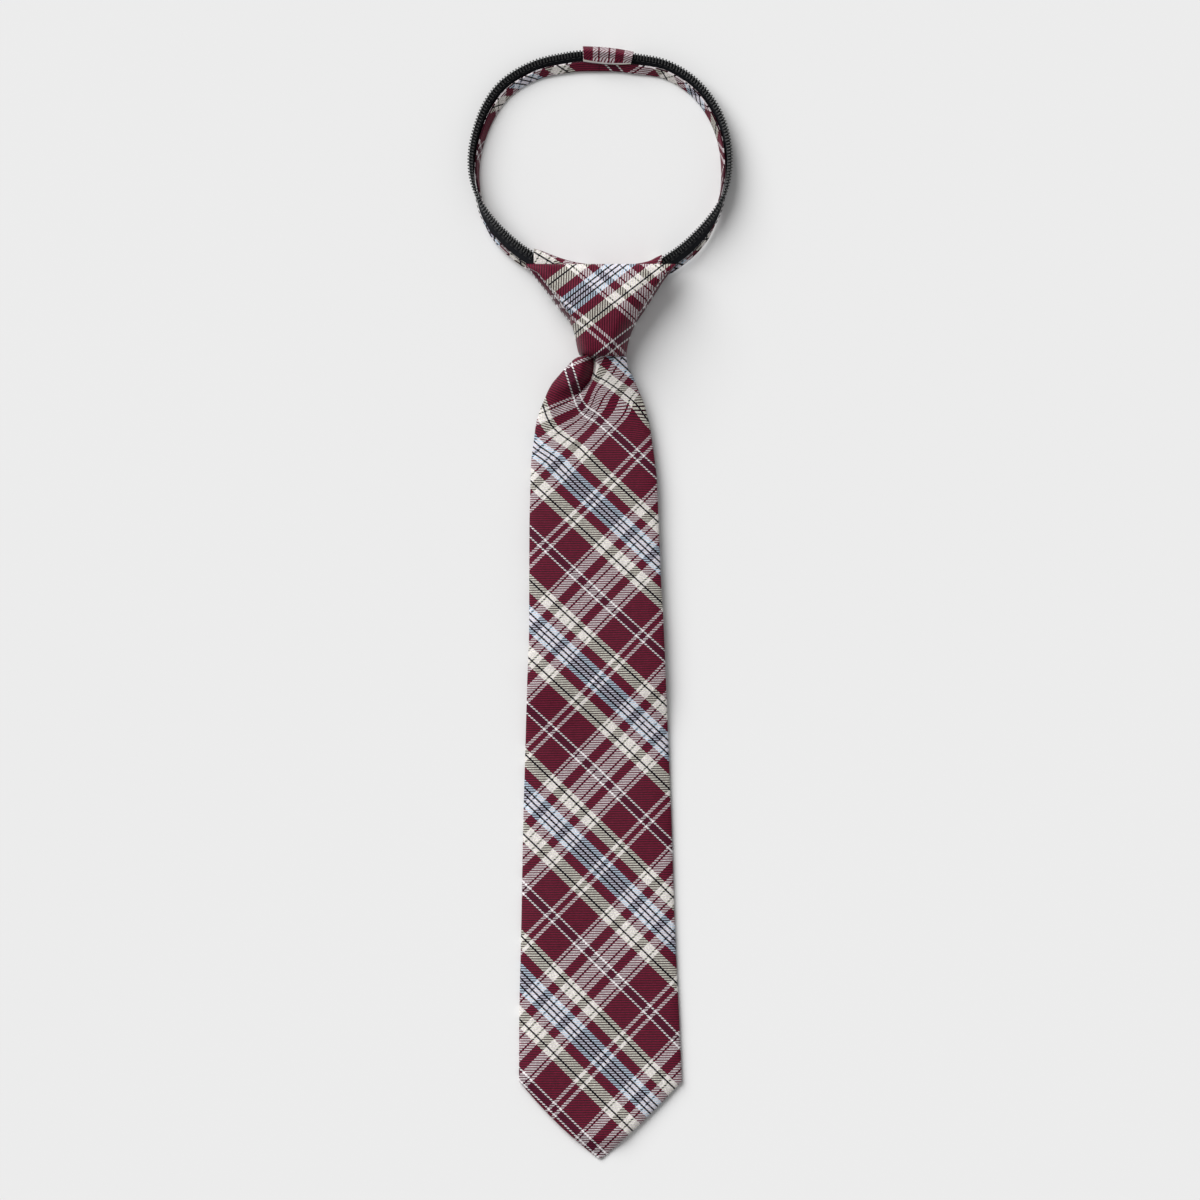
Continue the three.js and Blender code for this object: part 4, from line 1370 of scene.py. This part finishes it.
class Repeater(Wiring):
    """Geometry Nodes that set one small piece at each point of a carrier mesh."""

    def __init__(self, name: str) -> None:
        """Starts an empty tree with the carrier as its input.

        Args:
            name: The tree's name.
        """
        super().__init__(bpy.data.node_groups.new(name, "GeometryNodeTree"), "")
        self.tree.is_modifier = True
        face = self.tree.interface
        face.new_socket("Geometry", in_out="INPUT", socket_type="NodeSocketGeometry")
        face.new_socket("Geometry", in_out="OUTPUT", socket_type="NodeSocketGeometry")
        self.start = self.tree.nodes.new("NodeGroupInput")
        self.ids: dict[str, str] = {}

    def size(self, name: str, value: float) -> None:
        """Adds a named size to the tree's inputs.

        Args:
            name: The size's name.
            value: What it is unless a run gives another.
        """
        socket = self.tree.interface.new_socket(name, in_out="INPUT", socket_type="NodeSocketFloat")
        socket.default_value = value
        self.ids[name] = socket.identifier

    def end(self, piece: bpy.types.NodeSocket, material: bpy.types.Material) -> None:
        """Sets the piece on every point and ends the tree in plain geometry.

        Args:
            piece: The small piece's mesh.
            material: Its finish.
        """
        turn = self.add("GeometryNodeInputNamedAttribute", {"Name": "turn"}, data_type="FLOAT_VECTOR")
        rotation = self.add("FunctionNodeEulerToRotation", {0: turn.outputs[0]})
        copies = self.add("GeometryNodeInstanceOnPoints", {
            "Points": self.start.outputs[0], "Instance": piece, "Rotation": rotation.outputs[0],
        })
        real = self.add("GeometryNodeRealizeInstances", {0: copies.outputs[0]})
        smoothed = self.add("GeometryNodeSetShadeSmooth", {"Geometry": real.outputs[0]})
        dressed = self.add("GeometryNodeSetMaterial", {"Geometry": smoothed.outputs[0], "Material": material})
        out = self.tree.nodes.new("NodeGroupOutput")
        self.tree.links.new(dressed.outputs[0], out.inputs[0])

    def run(self, name: str, places: Array, turns: list[Vector], sizes: dict[str, float]) -> bpy.types.Object:
        """Makes the plain mesh of all copies.

        Args:
            name: The piece's name.
            places: Where the copies go, in millimetres.
            turns: The Euler turn of each copy.
            sizes: A value for each of the tree's named sizes.

        Returns:
            The new object, at the origin.
        """
        carrier = bpy.data.meshes.new(f"{name}_carrier")
        carrier.from_pydata((places * MM).tolist(), [], [])
        attribute = carrier.attributes.new("turn", "FLOAT_VECTOR", "POINT")
        attribute.data.foreach_set("vector", np.array(turns, np.float32).reshape(-1))
        holder = set_down(f"{name}_holder", carrier)
        modifier = holder.modifiers.new("repeat", "NODES")
        modifier.node_group = self.tree
        for key, value in sizes.items():
            modifier[self.ids[key]] = value
        depsgraph = bpy.context.evaluated_depsgraph_get()
        mesh = bpy.data.meshes.new_from_object(holder.evaluated_get(depsgraph))
        mesh.name = name
        holder.modifiers.remove(modifier)
        bpy.data.objects.remove(holder)
        return set_down(name, mesh)


class CoilTurns(Repeater):
    """One flattened loop of nylon wire for each tooth of a zipper coil."""

    def __init__(self, material: bpy.types.Material) -> None:
        """Builds the tree.

        Args:
            material: The wire's finish.
        """
        super().__init__("coil_turns")
        self.size("Turn length", 2.6 * MM)
        self.size("Turn height", 1.5 * MM)
        self.size("Wire radius", 0.3 * MM)
        length, height, wire = (self.start.outputs[i] for i in (1, 2, 3))
        loop = self.add("GeometryNodeCurvePrimitiveQuadrilateral", {"Width": length, "Height": height})
        bend = self.add("ShaderNodeMath", {0: height, 1: 0.42}, operation="MULTIPLY")
        rounded = self.add("GeometryNodeFilletCurve", {"Curve": loop.outputs[0], "Radius": bend.outputs[0]})
        self.set_rounds(rounded)
        circle = self.add("GeometryNodeCurvePrimitiveCircle", {"Resolution": 6, "Radius": wire})
        wires = {"Curve": rounded.outputs[0], "Profile Curve": circle.outputs[0]}
        tube = self.add("GeometryNodeCurveToMesh", wires)
        self.end(tube.outputs[0], material)

    def set_rounds(self, fillet: bpy.types.Node) -> None:
        """Gives a fillet three points at each corner.

        Args:
            fillet: The fillet's node.
        """
        if hasattr(fillet, "mode"):
            fillet.mode = "POLY"
        else:
            fillet.inputs["Mode"].default_value = "Poly"
        fillet.inputs["Count"].default_value = 3


class Stitches(Repeater):
    """Short sewn stitches, each a small capsule of thread."""

    def __init__(self, name: str, material: bpy.types.Material) -> None:
        """Builds the tree.

        Args:
            name: The tree's name.
            material: The thread's finish.
        """
        super().__init__(name)
        self.size("Stitch length", 1.6 * MM)
        self.size("Thread radius", 0.16 * MM)
        length, thread = (self.start.outputs[i] for i in (1, 2))
        ball = self.add("GeometryNodeMeshUVSphere", {"Segments": 6, "Rings": 5, "Radius": 1.0})
        half = self.add("ShaderNodeMath", {0: length, 1: 0.5}, operation="MULTIPLY")
        scale = self.add("ShaderNodeCombineXYZ", {0: thread, 1: thread, 2: half.outputs[0]})
        shaped = self.add("GeometryNodeTransform", {"Geometry": ball.outputs[0], "Scale": scale.outputs[0]})
        self.end(shaped.outputs[0], material)


@dataclass
class Zipper:
    """The coils on both tapes, their sewing, the closed chain behind the blade and the slider."""

    left: Band
    right: Band
    thread: float = 0.17
    stitch: float = 1.7
    stitch_pitch: float = 2.3
    turn_reach: float = 2.75  # length of a turn of wire across the band
    closed_wire: float = 0.25  # radius of the wire behind the blade
    stagger: float = 0.5  # how far each closed coil stands beside the chain's middle

    def build(self, nylon: bpy.types.Material, sewing: bpy.types.Material, enamel: bpy.types.Material) -> None:
        """Makes every piece and hands it over.

        Args:
            nylon: The coils' finish.
            sewing: The stitches' finish.
            enamel: The slider's finish.
        """
        coil = CoilTurns(nylon)
        for band in (self.left, self.right):
            at = np.arange(0.4, band.reach(), band.pitch)
            self.build_coil(coil, band, at, f"coil_turns_{band.name}", f"zipper_coil_{band.name}")
        self.build_closed(coil)
        self.build_sewing(sewing)
        slider = bpy.data.objects["zipper_slider"]
        slider.data.materials.clear()
        slider.data.materials.append(enamel)

    def build_coil(self, coil: CoilTurns, band: Band, at: Array, name: str, node: str) -> None:
        """Makes the open coil of one band.

        Args:
            coil: The tree of its turns.
            band: The band that carries it.
            at: Lengths of the teeth from the loop's top.
            name: The piece's name.
            node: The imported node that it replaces.
        """
        middle = band.width - self.turn_reach / 2
        places, turns = band.turns(at, middle, band.tape_thickness / 2)
        sizes = {
            "Turn length": (self.turn_reach - band.wire) * MM,
            "Turn height": (band.coil_thickness - band.wire) * MM,
            "Wire radius": band.wire / 2 * MM,
        }
        hand_over(coil.run(name, places, turns, sizes), Kit.COIL, node)

    def build_closed(self, coil: CoilTurns) -> None:
        """Makes the meshed coils behind the blade.

        Args:
            coil: The tree of their turns.
        """
        low, high = node_box("closed_coil")
        band = self.left
        x = (low[0] + high[0]) / 2
        places, turns = [], []
        count = int((high[1] - low[1] - 1) / band.pitch)
        for i in range(2 * count):
            y = high[1] - 0.6 - i * band.pitch / 2
            raised = np.interp(y, [KNOT_FOOT - band.settle, KNOT_FOOT], [0, 1]) * band.slider_rise
            side = 1 if i % 2 else -1
            places.append((x + side * self.stagger, y, low[2] + band.coil_thickness / 2 + raised))
            axes = Matrix(((1, 0, 0), (0, 0, 1), (0, -1, 0))).transposed()
            turns.append(Vector(axes.to_euler("XYZ")))
        sizes = {
            "Turn length": (band.chain_width - 2 * self.stagger - 2 * self.closed_wire) * MM,
            "Turn height": (band.coil_thickness - 2 * self.closed_wire) * MM,
            "Wire radius": self.closed_wire * MM,
        }
        hand_over(coil.run("closed_coil_turns", np.array(places), turns, sizes), Kit.COIL, "closed_coil")

    def build_sewing(self, sewing: bpy.types.Material) -> None:
        """Makes the rows of stitches beside the coils and along the plaid strips.

        Args:
            sewing: The thread's finish.
        """
        stitches = Stitches("tape_stitches", sewing)
        sizes = {"Stitch length": self.stitch * MM, "Thread radius": self.thread * MM}
        for band in (self.left, self.right):
            at = np.arange(1.0, band.length - 2, self.stitch_pitch)
            places, turns = [], []
            top = band.tape_thickness + 0.05
            for across, through in ((band.tape_edge - 0.5, top), (band.tape_edge - 1.15, top),
                                    (band.tape_edge - 0.6, -0.05), (band.tape_inset + 0.8, top)):
                some, turned = band.turns(at, across, through)
                places.append(some)
                turns.extend(turned)
            made = stitches.run(f"tape_stitches_{band.name}", np.concatenate(places), turns, sizes)
            hand_over(made, Kit.TAPE)


@dataclass
class BackTab:
    """Plaid tab folded round both bands at the back of the neck, with a pale rolled lip."""

    left: Band
    right: Band
    reach_left: float = 6.6
    reach_right: float = 12.4
    cloth: float = 0.8
    turn: float = 1.2

    def build(self, cloth: bpy.types.Material) -> None:
        """Makes the tab and hands it over.

        Args:
            cloth: The plaid's finish.
        """
        band = self.left
        edge = band.width + GAP
        low = -band.coil_drop - GAP
        high = band.tape_thickness + band.coil_drop + GAP
        near = band.strip_width + GAP
        back = band.strip_width - self.turn
        path_outer = self.path(edge + self.cloth, low - self.cloth, high + self.cloth, near, back, 1.0)
        path_inner = self.path(edge, low, high, near, back, 0.3)
        section = np.concatenate([path_outer, path_inner[::-1]])
        ends = [
            self.left.sweep(np.array([self.reach_left]), section[None])[0],
            self.right.sweep(np.array([self.reach_right]), section[None])[0],
        ]
        share = np.linspace(0, 1, 60)[:, None, None]
        rings = ends[0] * (1 - share) + ends[1] * share
        lip = bell(section[:, 0] - near, 1.4) * (section[:, 1] < low + 0.2)
        sag = np.sin(math.pi * share[..., 0]) * (0.55 * lip + 0.9 * (1 - lip))
        rings[..., 1] += sag * np.where(lip > 0.3, -1.0, 0.6)
        rings[..., 1] -= share[..., 0] * np.clip((section[:, 0] - near) / (edge - near), 0, 1) * 1.1
        rings[..., 2] = np.maximum(rings[..., 2], 0.05)
        girth = np.concatenate([[0], np.cumsum(np.hypot(*np.diff(section, axis=0).T))])
        girth = np.append(np.minimum(girth, girth[-1] - girth), 0.0)
        s, w = np.meshgrid(rings[:, 0, 0], girth, indexing="ij")
        pale = w < 0.95
        warp, weft = np.where(pale, 15.2, 1.4) + w, np.where(pale, 18.6 + 0.05 * s, s + 26.95)
        tab = Loft(rings, np.stack([warp, weft], -1) / REPEAT).build("tab_cloth", cloth)
        hand_over(tab, Kit.PLAID, "back_tab")

    @staticmethod
    def path(edge: float, low: float, high: float, near: float, back: float, radius: float) -> Array:
        """One face of the tab's section, from its front lip round the coil's edge to its back leg.

        Args:
            edge: Its furthest place across the band.
            low: Its front face through the band.
            high: Its back face.
            near: Place of the front lip across the band.
            back: Place of the back leg's end.
            radius: Rounding of the two bends.

        Returns:
            The points.
        """
        first = np.radians(np.linspace(-90, 0, 6))
        second = np.radians(np.linspace(0, 90, 6))
        parts = [
            np.column_stack([[near, near + 0.9, near + 1.0], np.full(3, low)]),
            np.column_stack([np.linspace(near + 1.0, edge - radius, 5)[1:-1], np.full(3, low)]),
            np.column_stack([edge - radius + radius * np.cos(first), low + radius + radius * np.sin(first)]),
            np.column_stack([edge - radius + radius * np.cos(second), high - radius + radius * np.sin(second)]),
            np.column_stack([np.linspace(edge - radius, back, 5)[1:], np.full(4, high)]),
        ]
        return np.concatenate(parts)


@dataclass
class Studio:
    """Pale floor, soft light from the upper left and a camera straight above."""

    view_width: float = 480.0
    height: float = 4000.0
    floor_grey: float = 0.80
    key: float = 3.62
    ambient: float = 0.34

    def build(self) -> None:
        """Makes the floor, the lights and the camera."""
        graph = Graph("studio_floor")
        level = graph.math("MULTIPLY_ADD", graph.noise(graph.place(), 3.0, 1.0), 0.01, self.floor_grey - 0.005)
        grey = graph.add("CombineColor", {0: level, 1: level, 2: level}).outputs[0]
        material = graph.finish(None, 0.0, Base_Color=grey, Roughness=0.9, Specular_IOR_Level=0.1)
        side = 4.0
        corners = [(-side, -side, 0), (side, -side, 0), (side, side, 0), (-side, side, 0)]
        mesh = bpy.data.meshes.new("floor")
        mesh.from_pydata(corners, [], [(0, 1, 2, 3)])
        mesh.materials.append(material)
        set_down("floor", mesh)
        self.light("key", (-0.8, 1.0, 1.0), 48.0, self.key)
        world = bpy.data.worlds.new("studio")
        world.use_nodes = True
        world.node_tree.nodes["Background"].inputs[0].default_value = (1, 1, 1, 1)
        world.node_tree.nodes["Background"].inputs[1].default_value = self.ambient
        bpy.context.scene.world = world
        bpy.context.scene.view_settings.view_transform = "Standard"
        camera = bpy.data.cameras.new("overhead")
        camera.lens = camera.sensor_width * self.height / self.view_width
        holder = set_down("overhead", camera)
        holder.location = (0.04 * MM, 0.48 * MM, self.height * MM)
        bpy.context.scene.camera = holder

    @staticmethod
    def light(name: str, place: tuple[float, float, float], spread: float, power: float) -> None:
        """Adds a soft, even light that comes from far off.

        Args:
            name: The light's name.
            place: The way that it comes from.
            spread: How wide it looks from the tie, in degrees.
            power: Its power in watts for each square metre.
        """
        data = bpy.data.lights.new(name, "SUN")
        data.angle = math.radians(spread)
        data.energy = power
        lamp = set_down(name, data)
        lamp.location = place
        lamp.rotation_euler = (-Vector(place)).to_track_quat("-Z", "Y").to_euler()


def main() -> None:
    """Dresses the whole tie and sets up the studio."""
    logging.basicConfig(level=logging.INFO, format="%(message)s")
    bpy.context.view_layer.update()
    cloth = PlaidTwill().material("plaid_twill")
    tape = RibbedTape().material("zipper_tape")
    nylon = Nylon().material("nylon_coil")
    sewing = Nylon((0.012, 0.012, 0.014), 0.6).material("sewing_thread")
    enamel = Enamel().material("slider_enamel")
    satin = Satin().material("lining_satin")
    left, right = Band(Side.LEFT), Band(Side.RIGHT)
    Studio().build()
    Knot().build(cloth)
    Blade().build(cloth, satin)
    for band in (left, right):
        band.build(cloth, tape)
    Zipper(left, right).build(nylon, sewing, enamel)
    BackTab(left, right).build(cloth)


if __name__ == "__main__":
    main()
